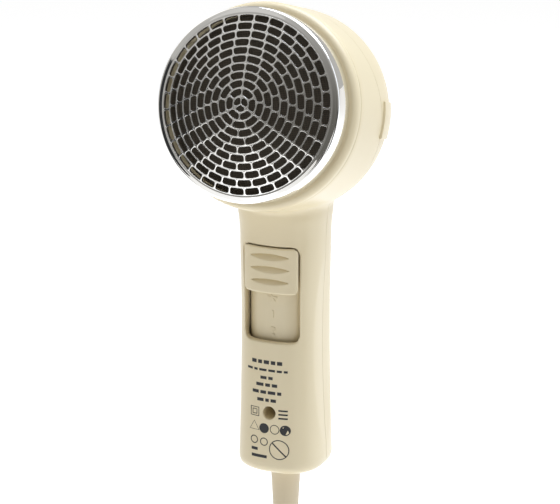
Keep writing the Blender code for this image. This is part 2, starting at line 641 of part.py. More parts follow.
def slider_carrier(black, middle_z):
    """Bridge behind the panel that the tongues clip into, with a pin in the switch's slot."""
    thick = SWITCH_FACE - GAP - CARRIER_BACK
    width = WINDOW_WIDTH - 2 * GAP - 2 * TONGUE_WIDTH - 2 * GAP
    bridge = block((width, thick, TONGUE_HEIGHT), (0, CARRIER_BACK + thick / 2, middle_z))
    carrier = make("slider_carrier", bridge, black)
    pin = block((0.0016, 0.0040, 0.0030), (0, SWITCH_FACE + 0.0014, middle_z))
    join(carrier, make("pin", pin, black))


def switch_body(black, brass, middle_z):
    """Slide switch with its slot and three blade terminals."""
    low = middle_z - SLIDER_TRAVEL - SWITCH_END
    high = middle_z + SWITCH_END
    face = SWITCH_FACE
    middle = (0, face + SWITCH_THICK / 2, (low + high) / 2)
    body = make("switch_body", block((0.0130, SWITCH_THICK, high - low), middle, 0.0004), black)
    slot_low = middle_z - SLIDER_TRAVEL - SLOT_END
    slot_high = middle_z + SLOT_END
    slot = block((0.0022, SWITCH_THICK, slot_high - slot_low), (0, face, (slot_low + slot_high) / 2))
    cut(body, make("slot", slot, black))
    for i in range(3):
        x = 0.0042 * (i - 1)
        tab = block((0.0028, 0.0008, TAB_LENGTH), (x, face + 0.0050, low - GAP - TAB_LENGTH / 2))
        make("switch_terminal_%d" % (i + 1), tab, brass)
    return low - GAP - TAB_LENGTH


def capacitor(yellow):
    make("suppression_capacitor", block((0.0130, 0.0060, 0.0110), (0, 0.0070, -0.0150), 0.0006), yellow)


# ---- cord entry and mains lead --------------------------------------------------------------------
def strain_relief(rubber):
    """Flange inside the foot, neck through it, then a collar and a tapered sleeve."""
    neck = RELIEF_NECK - GAP
    floor = HANDLE_FOOT_Z - FOOT_CROWN
    inside = floor + WALL + GAP
    outline = [(0, inside + FLANGE_THICK), (RELIEF_FLANGE, inside + FLANGE_THICK), (RELIEF_FLANGE, inside),
               (neck, inside), (neck, floor - GAP), (RELIEF_TOP_RADIUS + 0.0006, floor - GAP),
               (RELIEF_TOP_RADIUS + 0.0006, floor - 0.0018), (RELIEF_TOP_RADIUS, floor - COLLAR_HEIGHT)]
    steps = 5
    for i in range(1, steps + 1):
        share = i / steps
        radius = RELIEF_TOP_RADIUS + (RELIEF_END_RADIUS - RELIEF_TOP_RADIUS) * share
        outline.append((radius, floor - COLLAR_HEIGHT - (RELIEF_LENGTH - COLLAR_HEIGHT) * share))
    outline.append((0, floor - RELIEF_LENGTH))
    return make("strain_relief", turned(outline, 24, "Z"), rubber, UPRIGHT, True)


def inner_cable(rubber):
    low = HANDLE_FOOT_Z - FOOT_CROWN + WALL + FLANGE_THICK + 2 * GAP
    make("inner_cable", rod(CORD_RADIUS, low, CABLE_END_Z, 16, "Z"), rubber, UPRIGHT, True)


def cord_clamp(black, steel):
    """Bar screwed over the cable inside the foot."""
    strip = block((0.0232, CLAMP_THICK, CLAMP_HEIGHT), (0, -GAP - CLAMP_THICK / 2, CLAMP_Z))
    bar = make("cord_clamp", strip, black)
    cut(bar, make("saddle", rod(CORD_RADIUS + GAP, CLAMP_Z - 0.01, CLAMP_Z + 0.01, 16, "Z"), black))
    low = CLAMP_Z - CLAMP_HEIGHT / 2
    bridge = tube(CORD_RADIUS + GAP, CORD_RADIUS + 0.0022, low, low + CLAMP_HEIGHT, 24, "Z")
    arch = make("arch", bridge, black)
    cut(arch, make("ahead", block((0.03, 0.02, 0.03), (0, 0.01 - GAP, CLAMP_Z)), black))
    join(bar, arch)
    for side, name in ((-1, "left"), (1, "right")):
        spot = Matrix.Translation((side * CLAMP_SCREW_X, 0, CLAMP_Z))
        cut(bar, make("hole", rod(0.0013, -0.010, 0.010, 12), black, spot))
        under_head = -CLAMP_THICK - 2 * GAP
        outline = [(0, -0.0054), (0.0021, -0.0050), (0.0021, under_head), (0.0010, under_head),
                   (0.0010, 0.0070), (0, 0.0074)]
        make("clamp_screw_" + name, turned(outline, 12), steel, spot, True)


def leads(insulation, tab_end_z):
    """Insulated wires from the cable round the screw boss, to the switch and up to the heater."""
    start_z = CABLE_END_Z + 3 * GAP
    half = GRIP_HALF
    routes = {
        "lead_live": [(0.0016, 0.0000, start_z), (0.0042, 0.0000, -0.0312), (0.0064, 0.0000, -0.0265),
                      (0.0062, -0.0004, -0.0190), (0.0052, -0.0024, -0.0080),
                      (0.0042, SWITCH_FACE + 0.0050, tab_end_z - GAP)],
        "lead_heater": [(-0.0016, 0.0000, start_z), (-0.0042, 0.0000, -0.0312), (-0.0064, 0.0006, -0.0265),
                        (-0.49 * half, 0.34 * half, -0.0120), (-0.54 * half, 0.49 * half, 0.0180),
                        (-0.51 * half, 0.57 * half, 0.0450), (-0.40 * half, 0.70 * half, 0.0620),
                        (-0.28 * half, 0.79 * half, 0.0780)],
    }
    for name, route in routes.items():
        wire(name, route, 0.0009, 1, 4, insulation)


def smooth_route(points, parts):
    """Points read from a smooth curve through the given ones."""
    ends = [points[0] * 2 - points[1]] + points + [points[-1] * 2 - points[-2]]
    result = []
    for i in range(1, len(ends) - 2):
        a, b, c, d = ends[i - 1:i + 3]
        for j in range(parts):
            t = j / parts
            result.append(0.5 * ((2 * b) + (c - a) * t + (2 * a - 5 * b + 4 * c - d) * t * t
                                 + (3 * b - a - 3 * c + d) * t * t * t))
    result.append(points[-1])
    return result


def wire(name, route, radius, roundness, parts, material):
    """A round wire or cord along a smooth curve through a route's points."""
    line = bpy.data.curves.new(name, "CURVE")
    line.dimensions = "3D"
    line.bevel_depth = radius
    line.bevel_resolution = roundness
    line.use_fill_caps = True
    path = line.splines.new("POLY")
    points = smooth_route([Vector(p) for p in route], parts)
    path.points.add(len(points) - 1)
    for spot, point in zip(path.points, points):
        spot.co = (*point, 1)
    line.materials.append(material)
    thing = bpy.data.objects.new(name, line)
    bpy.context.scene.collection.objects.link(thing)
    return thing


def cord_hank(rubber):
    """Outer shape of the folded lead: round bights at both ends, drawn in at the tie."""
    bight = HANK_WIDTH / 2
    middle_z = HANK_TOP_Z - HANK_LENGTH / 2
    straight = HANK_LENGTH / 2 - bight
    half = []
    for i in range(0, 7):
        share = i / 6
        half.append((HANK_WAIST / 2 + (bight - HANK_WAIST / 2) * (1 - math.cos(math.pi * share)) / 2,
                     straight * share))
    for i in range(1, 10):
        angle = math.pi / 2 * i / 9
        half.append((bight * math.cos(angle), straight + bight * math.sin(angle)))
    outline = half + [(-x, z) for x, z in reversed(half[:-1])]
    outline += [(-x, -z) for x, z in half[1:]] + [(x, -z) for x, z in reversed(half[1:-1])]
    shape = bmesh.new()
    ring = [shape.verts.new((x, -HANK_DEPTH / 2, middle_z + z)) for x, z in outline]
    base = shape.faces.new(ring)
    grown = bmesh.ops.extrude_face_region(shape, geom=[base])
    moved = [v for v in grown["geom"] if isinstance(v, bmesh.types.BMVert)]
    bmesh.ops.translate(shape, vec=(0, HANK_DEPTH, 0), verts=moved)
    return make("cord_hank", shape, rubber)


def hank_tie(black):
    """Strap round the hank's waist."""
    middle_z = HANK_TOP_Z - HANK_LENGTH / 2
    half_x = HANK_WAIST / 2 + 0.0010
    half_y = HANK_DEPTH / 2 + GAP
    band = make("hank_tie", block((2 * (half_x + TIE_THICK), 2 * (half_y + TIE_THICK), TIE_WIDTH),
                                  (0, 0, middle_z), 0.0010), black)
    cut(band, make("hole", block((2 * half_x, 2 * half_y, 3 * TIE_WIDTH), (0, 0, middle_z)), black))
    return band


def plug(black, brass):
    """Two-pin plug at the end of the lead."""
    top = PLUG_TOP_Z
    end = top - PLUG_LENGTH
    outline = [(0, top), (0.0046, top), (0.0062, top - 0.0120), (0.0100, top - 0.0150),
               (PLUG_RADIUS, top - 0.0200), (PLUG_RADIUS, end + 0.0008), (PLUG_RADIUS - 0.0008, end), (0, end)]
    place = Matrix.Translation((PLUG_X, PLUG_Y, 0))
    body = make("plug_body", turned(outline, 28, "Z"), black, place, True)
    for i, side in enumerate((-1, 1)):
        spot = Matrix.Translation((PLUG_X + side * PIN_SPACING / 2, PLUG_Y, end))
        cut(body, make("seat", rod(PIN_RADIUS + GAP, -0.001, PIN_SEAT + GAP, 16, "Z"), black, spot))
        pin = [(0, -PIN_LENGTH), (PIN_RADIUS - 0.0006, -PIN_LENGTH), (PIN_RADIUS, -PIN_LENGTH + 0.0008),
               (PIN_RADIUS, PIN_SEAT), (0, PIN_SEAT)]
        make("plug_pin_%d" % (i + 1), turned(pin, 16, "Z"), brass, spot, True)


# ---- the whole dryer ----------------------------------------------------------------------------
for leftover in list(bpy.data.objects):
    bpy.data.objects.remove(leftover)

PLACEHOLDER = finish("unfinished", (0.5, 0.5, 0.5), 0.5)
CREAM = finish("cream_plastic", (0.78, 0.68, 0.50), 0.38)
CHROME = finish("chrome", (0.86, 0.86, 0.87), 0.08, 1.0)
FILTER = finish("filter_mesh", (0.05, 0.045, 0.03), 0.7)
BLACK = finish("black_plastic", (0.03, 0.03, 0.03), 0.45)
DUCT = finish("grey_plastic", (0.25, 0.25, 0.24), 0.5)
STEEL = finish("steel", (0.55, 0.55, 0.55), 0.3, 1.0)
BRASS = finish("brass", (0.75, 0.58, 0.28), 0.3, 1.0)
COPPER = finish("copper_winding", (0.72, 0.36, 0.18), 0.4, 0.8)
MAGNET = finish("ferrite", (0.10, 0.10, 0.11), 0.6)
CARBON = finish("carbon", (0.03, 0.03, 0.03), 0.8)
RUBBER = finish("cord_rubber", (0.72, 0.62, 0.46), 0.55)
BUSH = finish("bush_rubber", (0.04, 0.04, 0.04), 0.8)
BOARD = finish("circuit_board", (0.05, 0.22, 0.10), 0.5)
MICA_BOARD = finish("mica", (0.70, 0.66, 0.58), 0.5)
NICHROME = finish("nichrome", (0.45, 0.43, 0.42), 0.35, 1.0)
CERAMIC = finish("ceramic", (0.85, 0.85, 0.82), 0.4)
YELLOW = finish("capacitor_case", (0.75, 0.60, 0.15), 0.45)
WIRE = finish("wire_sleeve", (0.35, 0.08, 0.05), 0.5)

rear, front = split_shells(CREAM)
screw_bosses(rear, front, CREAM)
handle_screw(STEEL)
intake_grille(CHROME)
cap_ring(CREAM)
intake_filter(FILTER)
side_trims(CREAM)
fan_duct(DUCT)
fan_impeller(BLACK)
motor(STEEL, BLACK, MAGNET, COPPER, BRASS, CARBON, BUSH)
rectifier(BOARD, BLACK)
heater(MICA_BOARD, NICHROME, STEEL, CERAMIC)
outlet(BLACK, STEEL)
switch_panel(CREAM)
slider_height = slider(CREAM)
slider_carrier(BLACK, slider_height)
tab_end_height = switch_body(BLACK, BRASS, slider_height)
capacitor(YELLOW)
strain_relief(RUBBER)
inner_cable(RUBBER)
cord_clamp(BLACK, STEEL)
leads(WIRE, tab_end_height)
wire("cord", CORD_ROUTE, CORD_RADIUS, 2, 1, RUBBER)
wire("cord_tail", TAIL_ROUTE, CORD_RADIUS, 2, 1, RUBBER)
cord_hank(RUBBER)
hank_tie(BLACK)
plug(BLACK, BRASS)
bpy.data.materials.remove(PLACEHOLDER)
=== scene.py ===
import math

import bmesh
import bpy
from mathutils import Matrix, Vector


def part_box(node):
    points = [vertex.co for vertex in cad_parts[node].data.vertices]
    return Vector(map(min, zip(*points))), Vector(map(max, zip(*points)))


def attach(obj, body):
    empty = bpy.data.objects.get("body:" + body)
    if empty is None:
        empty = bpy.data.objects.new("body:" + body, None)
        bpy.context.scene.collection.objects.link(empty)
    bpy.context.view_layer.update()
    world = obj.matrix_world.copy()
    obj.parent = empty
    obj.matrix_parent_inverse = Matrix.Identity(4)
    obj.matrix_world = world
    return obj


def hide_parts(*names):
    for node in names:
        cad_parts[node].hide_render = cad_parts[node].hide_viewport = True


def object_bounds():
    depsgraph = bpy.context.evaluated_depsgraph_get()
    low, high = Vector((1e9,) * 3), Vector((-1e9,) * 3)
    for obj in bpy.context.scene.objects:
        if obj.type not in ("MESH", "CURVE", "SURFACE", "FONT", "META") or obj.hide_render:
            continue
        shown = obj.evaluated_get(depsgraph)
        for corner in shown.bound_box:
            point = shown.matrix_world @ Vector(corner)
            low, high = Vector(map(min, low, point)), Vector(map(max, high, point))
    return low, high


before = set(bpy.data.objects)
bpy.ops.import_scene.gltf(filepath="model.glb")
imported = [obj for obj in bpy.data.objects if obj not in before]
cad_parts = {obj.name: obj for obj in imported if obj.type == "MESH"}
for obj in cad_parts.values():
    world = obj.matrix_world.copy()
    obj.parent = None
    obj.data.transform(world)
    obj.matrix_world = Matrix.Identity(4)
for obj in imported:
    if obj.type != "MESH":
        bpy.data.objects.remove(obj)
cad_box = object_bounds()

# ---- camera ----------------------------------------------
# A long lens at chest height, to the right of the handle and a little above the barrel, looking
# at the rear of the dryer.
lens_spot = Vector((0.3712, -0.8818, 0.3332))
looking = Vector((-0.3731, 0.8800, -0.2941))
camera_data = bpy.data.cameras.new("camera")
camera_data.lens = 154.3
camera_data.clip_end = 30
camera = bpy.data.objects.new("camera", camera_data)
camera.matrix_world = Matrix.Translation(lens_spot) @ looking.to_track_quat("-Z", "Y").to_matrix().to_4x4()
bpy.context.scene.collection.objects.link(camera)
bpy.context.scene.camera = camera
bpy.context.scene.view_settings.view_transform = "Standard"

# ---- floor and studio light ------------------------------
# A white sweep under the hanging lead, large soft boxes above and beside it, a small low one for
# the handle, and dark cards beside the camera that give the polished cap something to reflect.
floor_height = cad_box[0][2] - 0.004
floor_mesh = bmesh.new()
bmesh.ops.create_grid(floor_mesh, x_segments=1, y_segments=1, size=12.0)
bmesh.ops.translate(floor_mesh, vec=(0, 0, floor_height), verts=floor_mesh.verts)
floor_data = bpy.data.meshes.new("floor")
floor_mesh.to_mesh(floor_data)
floor_mesh.free()
floor = bpy.data.objects.new("floor", floor_data)
bpy.context.scene.collection.objects.link(floor)
floor_paper = bpy.data.materials.new("floor_paper")
floor_paper.use_nodes = True
paper_shader = floor_paper.node_tree.nodes["Principled BSDF"]
paper_shader.inputs["Base Color"].default_value = (0.95, 0.95, 0.95, 1)
paper_shader.inputs["Roughness"].default_value = 0.9
paper_shader.inputs["Specular IOR Level"].default_value = 0.1
paper_shader.inputs["Emission Color"].default_value = (1, 1, 1, 1)
paper_shader.inputs["Emission Strength"].default_value = 0.50
floor_data.materials.append(floor_paper)

world = bpy.data.worlds.new("studio")
world.use_nodes = True
tree = world.node_tree
sky = tree.nodes["Background"]
towards = tree.nodes.new("ShaderNodeTexCoord")
facing = tree.nodes.new("ShaderNodeVectorMath")
facing.operation = "DOT_PRODUCT"
facing.inputs[1].default_value = (0.40, -0.88, -0.24)
shade = tree.nodes.new("ShaderNodeValToRGB")
shade.color_ramp.elements[0].position = 0.30
shade.color_ramp.elements[0].color = (1.0, 0.99, 0.97, 1)
shade.color_ramp.elements[1].position = 0.85
shade.color_ramp.elements[1].color = (0.26, 0.25, 0.23, 1)
tree.links.new(towards.outputs["Generated"], facing.inputs[0])
tree.links.new(facing.outputs["Value"], shade.inputs["Fac"])
tree.links.new(shade.outputs["Color"], sky.inputs["Color"])
sky.inputs["Strength"].default_value = 0.50
backdrop = tree.nodes.new("ShaderNodeBackground")
ray = tree.nodes.new("ShaderNodeLightPath")
choice = tree.nodes.new("ShaderNodeMixShader")
tree.links.new(ray.outputs["Is Camera Ray"], choice.inputs[0])
tree.links.new(sky.outputs["Background"], choice.inputs[1])
tree.links.new(backdrop.outputs["Background"], choice.inputs[2])
tree.links.new(choice.outputs["Shader"], tree.nodes["World Output"].inputs["Surface"])
bpy.context.scene.world = world


def soft_box(name, spot, aim, size, power, colour=(1, 1, 1)):
    lamp = bpy.data.lights.new(name, "AREA")
    lamp.shape = "RECTANGLE"
    lamp.size, lamp.size_y = size
    lamp.energy = power
    lamp.color = colour
    holder = bpy.data.objects.new(name, lamp)
    turn = (Vector(aim) - Vector(spot)).to_track_quat("-Z", "Y").to_matrix().to_4x4()
    holder.matrix_world = Matrix.Translation(spot) @ turn
    bpy.context.scene.collection.objects.link(holder)


soft_box("key", (-0.5, -0.45, 1.15), (0, 0, 0.05), (1.0, 1.0), 0.5)
soft_box("low", (-0.25, -1.2, -0.45), (0, 0, -0.05), (0.4, 0.4), 0.9)
soft_box("side", (1.3, 0.25, 0.45), (0, 0, 0.05), (0.7, 1.4), 2.6, (0.80, 0.87, 1.0))
soft_box("rim", (-1.0, 0.6, 0.7), (0, 0, 0.05), (0.8, 0.8), 2)
soft_box("top", (0.25, 0.25, 1.2), (0, 0, 0.10), (1.1, 1.1), 20, (0.80, 0.87, 1.0))


def dark_card(name, spot, aim, width, height):
    card = bmesh.new()
    bmesh.ops.create_grid(card, x_segments=1, y_segments=1, size=0.5)
    bmesh.ops.scale(card, vec=(width, height, 1), verts=card.verts)
    turn = (Vector(aim) - Vector(spot)).to_track_quat("Z", "Y").to_matrix().to_4x4()
    bmesh.ops.transform(card, matrix=Matrix.Translation(spot) @ turn, verts=card.verts)
    data = bpy.data.meshes.new(name)
    card.to_mesh(data)
    card.free()
    thing = bpy.data.objects.new(name, data)
    data.materials.append(card_black)
    bpy.context.scene.collection.objects.link(thing)
    thing.visible_camera = False


card_black = bpy.data.materials.new("card_black")
card_black.use_nodes = True
card_black.node_tree.nodes["Principled BSDF"].inputs["Base Color"].default_value = (0.01, 0.01, 0.01, 1)
card_black.node_tree.nodes["Principled BSDF"].inputs["Roughness"].default_value = 0.9
dark_card("low_card", (0.55, -1.25, -0.15), (0, 0, 0.1), 0.55, 0.35)
dark_card("right_card", (0.95, -0.38, -0.10), (0, 0, 0.1), 0.45, 0.80)
dark_card("left_card", (-0.90, -0.70, 0.10), (0, 0, 0.1), 0.40, 0.80)

# ---- mains lead ------------------------------------------
# A 7 mm round lead in cream PVC.  It drops from the relief, is folded into a hank in three layers
# for storage, and comes out beside the last layer to the plug.
cord_radius = 0.0035
cord_route = [(0.0000, 0.0000, -0.0993), (0.0000, -0.0002, -0.1030), (0.0000, -0.0008, -0.1075),
              (0.0000, -0.0020, -0.1125), (0.0000, -0.0036, -0.1180), (0.0000, -0.0052, -0.1235),
              (0.0000, -0.0064, -0.1285), (0.0000, -0.0071, -0.1330), (0.0000, -0.0072, -0.1367)]
tail_route = [(0.0259, 0.0072, -0.2882), (0.0257, 0.0072, -0.2910), (0.0256, 0.0072, -0.2940),
              (0.0255, 0.0072, -0.2972), (0.0255, 0.0072, -0.3007)]
hank_low, hank_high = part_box("cord_hank")
hank_middle = (hank_low.z + hank_high.z) / 2
layer = 0.0072
straight = 0.0450
outer_lane = (0.0123, 0.0292)      # half width at the tie and at the folds
inner_lane = (0.0041, 0.0210)


def ease(share):
    share = min(1.0, max(0.0, share))
    return (1 - math.cos(math.pi * share)) / 2


def lane_width(lane, height):
    return lane[0] + (lane[1] - lane[0]) * ease(abs(height) / straight)


def side_run(side, start, end, lane_from, lane_to, y_from, y_to, parts=8):
    """Points down or up one side of the hank, without the last one."""
    points = []
    for i in range(parts):
        height = start + (end - start) * i / parts
        change = ease(i / parts)
        width = lane_width(lane_from, height) * (1 - change) + lane_width(lane_to, height) * change
        points.append((side * width, y_from + (y_to - y_from) * change, hank_middle + height))
    return points


def fold(top, x_from, x_to, y_from, y_to, parts=9):
    """Points round the fold at one end of the hank, without the last one."""
    centre = (x_from + x_to) / 2
    radius = (x_from - x_to) / 2
    points = []
    for i in range(parts):
        angle = math.pi * i / parts
        rise = abs(radius) * math.sin(angle) + straight
        points.append((centre + radius * math.cos(angle), y_from + (y_to - y_from) * ease(i / parts),
                       hank_middle + (rise if top else -rise)))
    return points


outer, inner = outer_lane[1], inner_lane[1]
lead = list(cord_route[:-1])
entry_z = cord_route[-1][2]
for i in range(8):                 # down the middle and out to the outer lane at the tie
    lead.append((outer_lane[0] * ease(i / 8), -layer, entry_z + (hank_middle - entry_z) * i / 8))
lead += side_run(1, 0, -straight, outer_lane, outer_lane, -layer, -layer, 4)
lead += fold(False, outer, -outer, -layer, -layer)
lead += side_run(-1, -straight, straight, outer_lane, outer_lane, -layer, -layer)
lead += fold(True, -outer, outer, -layer, 0)
lead += side_run(1, straight, -straight, outer_lane, outer_lane, 0, 0)
lead += fold(False, outer, -outer, 0, 0)
lead += side_run(-1, -straight, 0, outer_lane, outer_lane, 0, 0, 4)
lead += side_run(-1, 0, straight, outer_lane, inner_lane, 0, 0, 4)
lead += fold(True, -inner, inner, 0, 0)
lead += side_run(1, straight, -straight, inner_lane, inner_lane, 0, 0)
lead += fold(False, inner, -inner, 0, 0)
lead += side_run(-1, -straight, 0, inner_lane, inner_lane, 0, layer, 4)
lead += side_run(-1, 0, straight, inner_lane, inner_lane, layer, layer, 4)
lead += fold(True, -inner, inner, layer, layer)
lead += side_run(1, straight, -straight, inner_lane, inner_lane, layer, layer)
lead += fold(False, inner, -outer, layer, layer)
lead += side_run(-1, -straight, straight, outer_lane, outer_lane, layer, layer)
lead += fold(True, -outer, outer, layer, layer)
lead += side_run(1, straight, -straight, outer_lane, outer_lane, layer, layer)
for i in range(4):                 # off the last layer, down beside the fold
    share = i / 4
    lead.append((outer + (tail_route[0][0] - outer) * ease(share), layer,
                 hank_middle - straight + (tail_route[0][2] - hank_middle + straight) * share))
lead += tail_route

cord_curve = bpy.data.curves.new("mains_lead", "CURVE")
cord_curve.dimensions = "3D"
cord_curve.bevel_depth = cord_radius
cord_curve.bevel_resolution = 5
cord_curve.use_fill_caps = True
cord_curve.resolution_u = 5
line = cord_curve.splines.new("BEZIER")
line.bezier_points.add(len(lead) - 1)
for knot, point in zip(line.bezier_points, lead):
    knot.co = point
    knot.handle_left_type = "AUTO"
    knot.handle_right_type = "AUTO"
mains_lead = bpy.data.objects.new("mains_lead", cord_curve)
bpy.context.scene.collection.objects.link(mains_lead)


def moulded_grain():
    """Slow drift of tone and a fine moulded grain, both from a point on the piece."""
    group = bpy.data.node_groups.new("moulded_grain", "ShaderNodeTree")
    face = group.interface
    face.new_socket("Vector", in_out="INPUT", socket_type="NodeSocketVector")
    face.new_socket("Drift Scale", in_out="INPUT", socket_type="NodeSocketFloat").default_value = 20
    face.new_socket("Grain Scale", in_out="INPUT", socket_type="NodeSocketFloat").default_value = 900
    face.new_socket("Drift", in_out="OUTPUT", socket_type="NodeSocketFloat")
    face.new_socket("Grain", in_out="OUTPUT", socket_type="NodeSocketFloat")
    nodes, links = group.nodes, group.links
    come = nodes.new("NodeGroupInput")
    leave = nodes.new("NodeGroupOutput")
    for source, target, detail in (("Drift Scale", "Drift", 3), ("Grain Scale", "Grain", 2)):
        cloud = nodes.new("ShaderNodeTexNoise")
        cloud.inputs["Detail"].default_value = detail
        links.new(come.outputs["Vector"], cloud.inputs["Vector"])
        links.new(come.outputs[source], cloud.inputs["Scale"])
        spread = nodes.new("ShaderNodeMapRange")
        spread.inputs["From Min"].default_value = 0.3
        spread.inputs["From Max"].default_value = 0.7
        links.new(cloud.outputs["Fac"], spread.inputs["Value"])
        links.new(spread.outputs["Result"], leave.inputs[target])
    return group


grain_group = moulded_grain()


def finish(name, colour, second, roughness, metallic=0.0, drift=20, grain=900, depth=0.00002):
    """A procedural finish: two close tones, a drifting roughness and a fine grain in the surface."""
    material = bpy.data.materials.new(name)
    material.use_nodes = True
    nodes, links = material.node_tree.nodes, material.node_tree.links
    shader = nodes["Principled BSDF"]
    shader.inputs["Metallic"].default_value = metallic
    place = nodes.new("ShaderNodeTexCoord")
    grains = nodes.new("ShaderNodeGroup")
    grains.node_tree = grain_group
    grains.inputs["Drift Scale"].default_value = drift
    grains.inputs["Grain Scale"].default_value = grain
    links.new(place.outputs["Object"], grains.inputs["Vector"])
    tone = nodes.new("ShaderNodeMix")
    tone.data_type = "RGBA"
    tone.inputs["A"].default_value = (*colour, 1)
    tone.inputs["B"].default_value = (*second, 1)
    links.new(grains.outputs["Drift"], tone.inputs["Factor"])
    links.new(tone.outputs["Result"], shader.inputs["Base Color"])
    gloss = nodes.new("ShaderNodeMapRange")
    gloss.inputs["To Min"].default_value = roughness[0]
    gloss.inputs["To Max"].default_value = roughness[1]
    links.new(grains.outputs["Drift"], gloss.inputs["Value"])
    links.new(gloss.outputs["Result"], shader.inputs["Roughness"])
    bump = nodes.new("ShaderNodeBump")
    bump.inputs["Strength"].default_value = 0.35
    bump.inputs["Distance"].default_value = depth
    links.new(grains.outputs["Grain"], bump.inputs["Height"])
    links.new(bump.outputs["Normal"], shader.inputs["Normal"])
    return material


cream_rubber = finish("cream_rubber", (0.66, 0.56, 0.38), (0.62, 0.52, 0.35), (0.42, 0.52), grain=1400)
mains_lead.data.materials.append(cream_rubber)
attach(mains_lead, "housing")
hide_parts("cord", "cord_hank", "cord_tail")


# ---- strain relief, strap and plug -----------------------
# The relief is a tapered PVC sleeve with a collar against the foot.  A hook-and-loop strap holds the
# hank, and a black two-pin plug is moulded onto the lead's end.
def face_out(shape):
    bmesh.ops.recalc_face_normals(shape, faces=shape.faces)


def turned(profile, sides, upright=False):
    """A shape turned from a closed outline of (radius, along) points, along Y or upright along Z."""
    shape = bmesh.new()
    corners = [shape.verts.new((r, 0, a) if upright else (r, a, 0)) for r, a in profile]
    edges = [shape.edges.new((corners[i - 1], corners[i])) for i in range(len(corners))
             if profile[i - 1][0] > 0 or profile[i][0] > 0]
    bmesh.ops.spin(shape, geom=corners + edges, cent=(0, 0, 0), axis=(0, 0, 1) if upright else (0, 1, 0),
                   angle=2 * math.pi, steps=sides, use_merge=True)
    bmesh.ops.remove_doubles(shape, verts=shape.verts, dist=1e-6)
    face_out(shape)
    return shape


def soften(shape, width, segments=2, crease=30):
    """Round every edge sharper than the crease angle."""
    sharp = [e for e in shape.edges if e.is_manifold and e.calc_face_angle() > math.radians(crease)]
    bmesh.ops.bevel(shape, geom=sharp, offset=width, offset_type="OFFSET", affect="EDGES",
                    segments=segments, profile=0.5, material=-1, clamp_overlap=True)


def piece(name, shape, material, body, place=None, crease=35):
    """A finished object from a bmesh: placed in its mesh, smooth but for its sharp edges."""
    if place is not None:
        bmesh.ops.transform(shape, matrix=place, verts=shape.verts)
    data = bpy.data.meshes.new(name)
    shape.to_mesh(data)
    shape.free()
    data.shade_smooth()
    data.set_sharp_from_angle(angle=math.radians(crease))
    data.materials.append(material)
    thing = bpy.data.objects.new(name, data)
    bpy.context.scene.collection.objects.link(thing)
    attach(thing, body)
    return thing


def block(size, centre, width=0.0, segments=2):
    shape = bmesh.new()
    bmesh.ops.create_cube(shape, size=1.0)
    bmesh.ops.scale(shape, vec=size, verts=shape.verts)
    if width:
        soften(shape, width, segments)
    bmesh.ops.translate(shape, vec=centre, verts=shape.verts)
    return shape


foot_bottom = -0.0550              # underside of the crowned foot
relief_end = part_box("strain_relief")[0].z
relief_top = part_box("strain_relief")[1].z
relief_outline = [(0, relief_top), (0.0078, relief_top), (0.0078, relief_top - 0.0026),
                  (0.0054, relief_top - 0.0026), (0.0054, foot_bottom - 0.0003),
                  (0.0070, foot_bottom - 0.0003), (0.0070, foot_bottom - 0.0019),
                  (0.0064, foot_bottom - 0.0025)]
for i in range(1, 13):             # slightly waisted taper to the cord
    share = i / 12
    relief_outline.append((0.0064 - 0.0020 * share ** 0.9, foot_bottom - 0.0025 - (0.0408 * share)))
relief_outline += [(0.0041, relief_end), (0.0036, relief_end + 0.0003), (0.0036, relief_end + 0.006),
                   (0, relief_end + 0.006)]
relief_shape = turned(relief_outline, 64, True)
soften(relief_shape, 0.00025, 3)
relief = piece("relief_sleeve", relief_shape, cream_rubber, "housing")
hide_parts("strain_relief")

strap_black = finish("strap_black", (0.018, 0.018, 0.020), (0.03, 0.03, 0.032), (0.75, 0.9), grain=3500,
                     depth=0.00012)
strap_half = (0.0163, 0.0113)
strap = block((2 * strap_half[0], 2 * strap_half[1], 0.0120), (0, 0, 0))
upright_edges = [e for e in strap.edges if abs(e.verts[0].co.z - e.verts[1].co.z) > 0.001]
bmesh.ops.bevel(strap, geom=upright_edges, offset=0.0040, offset_type="OFFSET", affect="EDGES", segments=8,
                profile=0.5, material=-1)
caps = [f for f in strap.faces if abs(f.normal.z) > 0.9]
bmesh.ops.delete(strap, geom=caps, context="FACES_ONLY")
face_out(strap)
bmesh.ops.solidify(strap, geom=strap.faces[:], thickness=-0.0010)
face_out(strap)
overlap = block((0.0200, 0.0009, 0.0120), (0.0035, -strap_half[1] - 0.0014, 0), 0.0002)
tab = bpy.data.meshes.new("tab")
overlap.to_mesh(tab)
overlap.free()
strap.from_mesh(tab)
bpy.data.meshes.remove(tab)
bmesh.ops.translate(strap, vec=(0, 0, hank_middle), verts=strap.verts)
soften(strap, 0.00015, 1)
strap = piece("hank_strap", strap, strap_black, "housing")
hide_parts("hank_tie")

plug_black = finish("plug_black", (0.020, 0.020, 0.021), (0.028, 0.028, 0.03), (0.38, 0.5), grain=1500)
brass = finish("brass", (0.78, 0.62, 0.32), (0.70, 0.55, 0.28), (0.22, 0.34), 1.0, drift=200)
plug_low, plug_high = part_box("plug_body")
plug_x = (plug_low.x + plug_high.x) / 2
plug_y = (plug_low.y + plug_high.y) / 2
plug_top, plug_face = plug_high.z, plug_low.z
plug_outline = [(0, plug_top - 0.0004), (0.0037, plug_top - 0.0004), (0.0040, plug_top)]
for i in range(6):                 # three ribs that let the sleeve flex
    along = plug_top - 0.0014 - 0.0016 * i
    plug_outline.append((0.0047 + 0.0002 * i - (0.0007 if i % 2 else 0), along))
plug_outline += [(0.0062, plug_top - 0.0120), (0.0080, plug_top - 0.0135), (0.0105, plug_top - 0.0165),
                 (0.0122, plug_top - 0.0195), (0.0128, plug_top - 0.0230), (0.0128, plug_face + 0.0006),
                 (0.0122, plug_face), (0, plug_face)]
plug_shape = turned(plug_outline, 64, True)
soften(plug_shape, 0.0002, 2, 40)
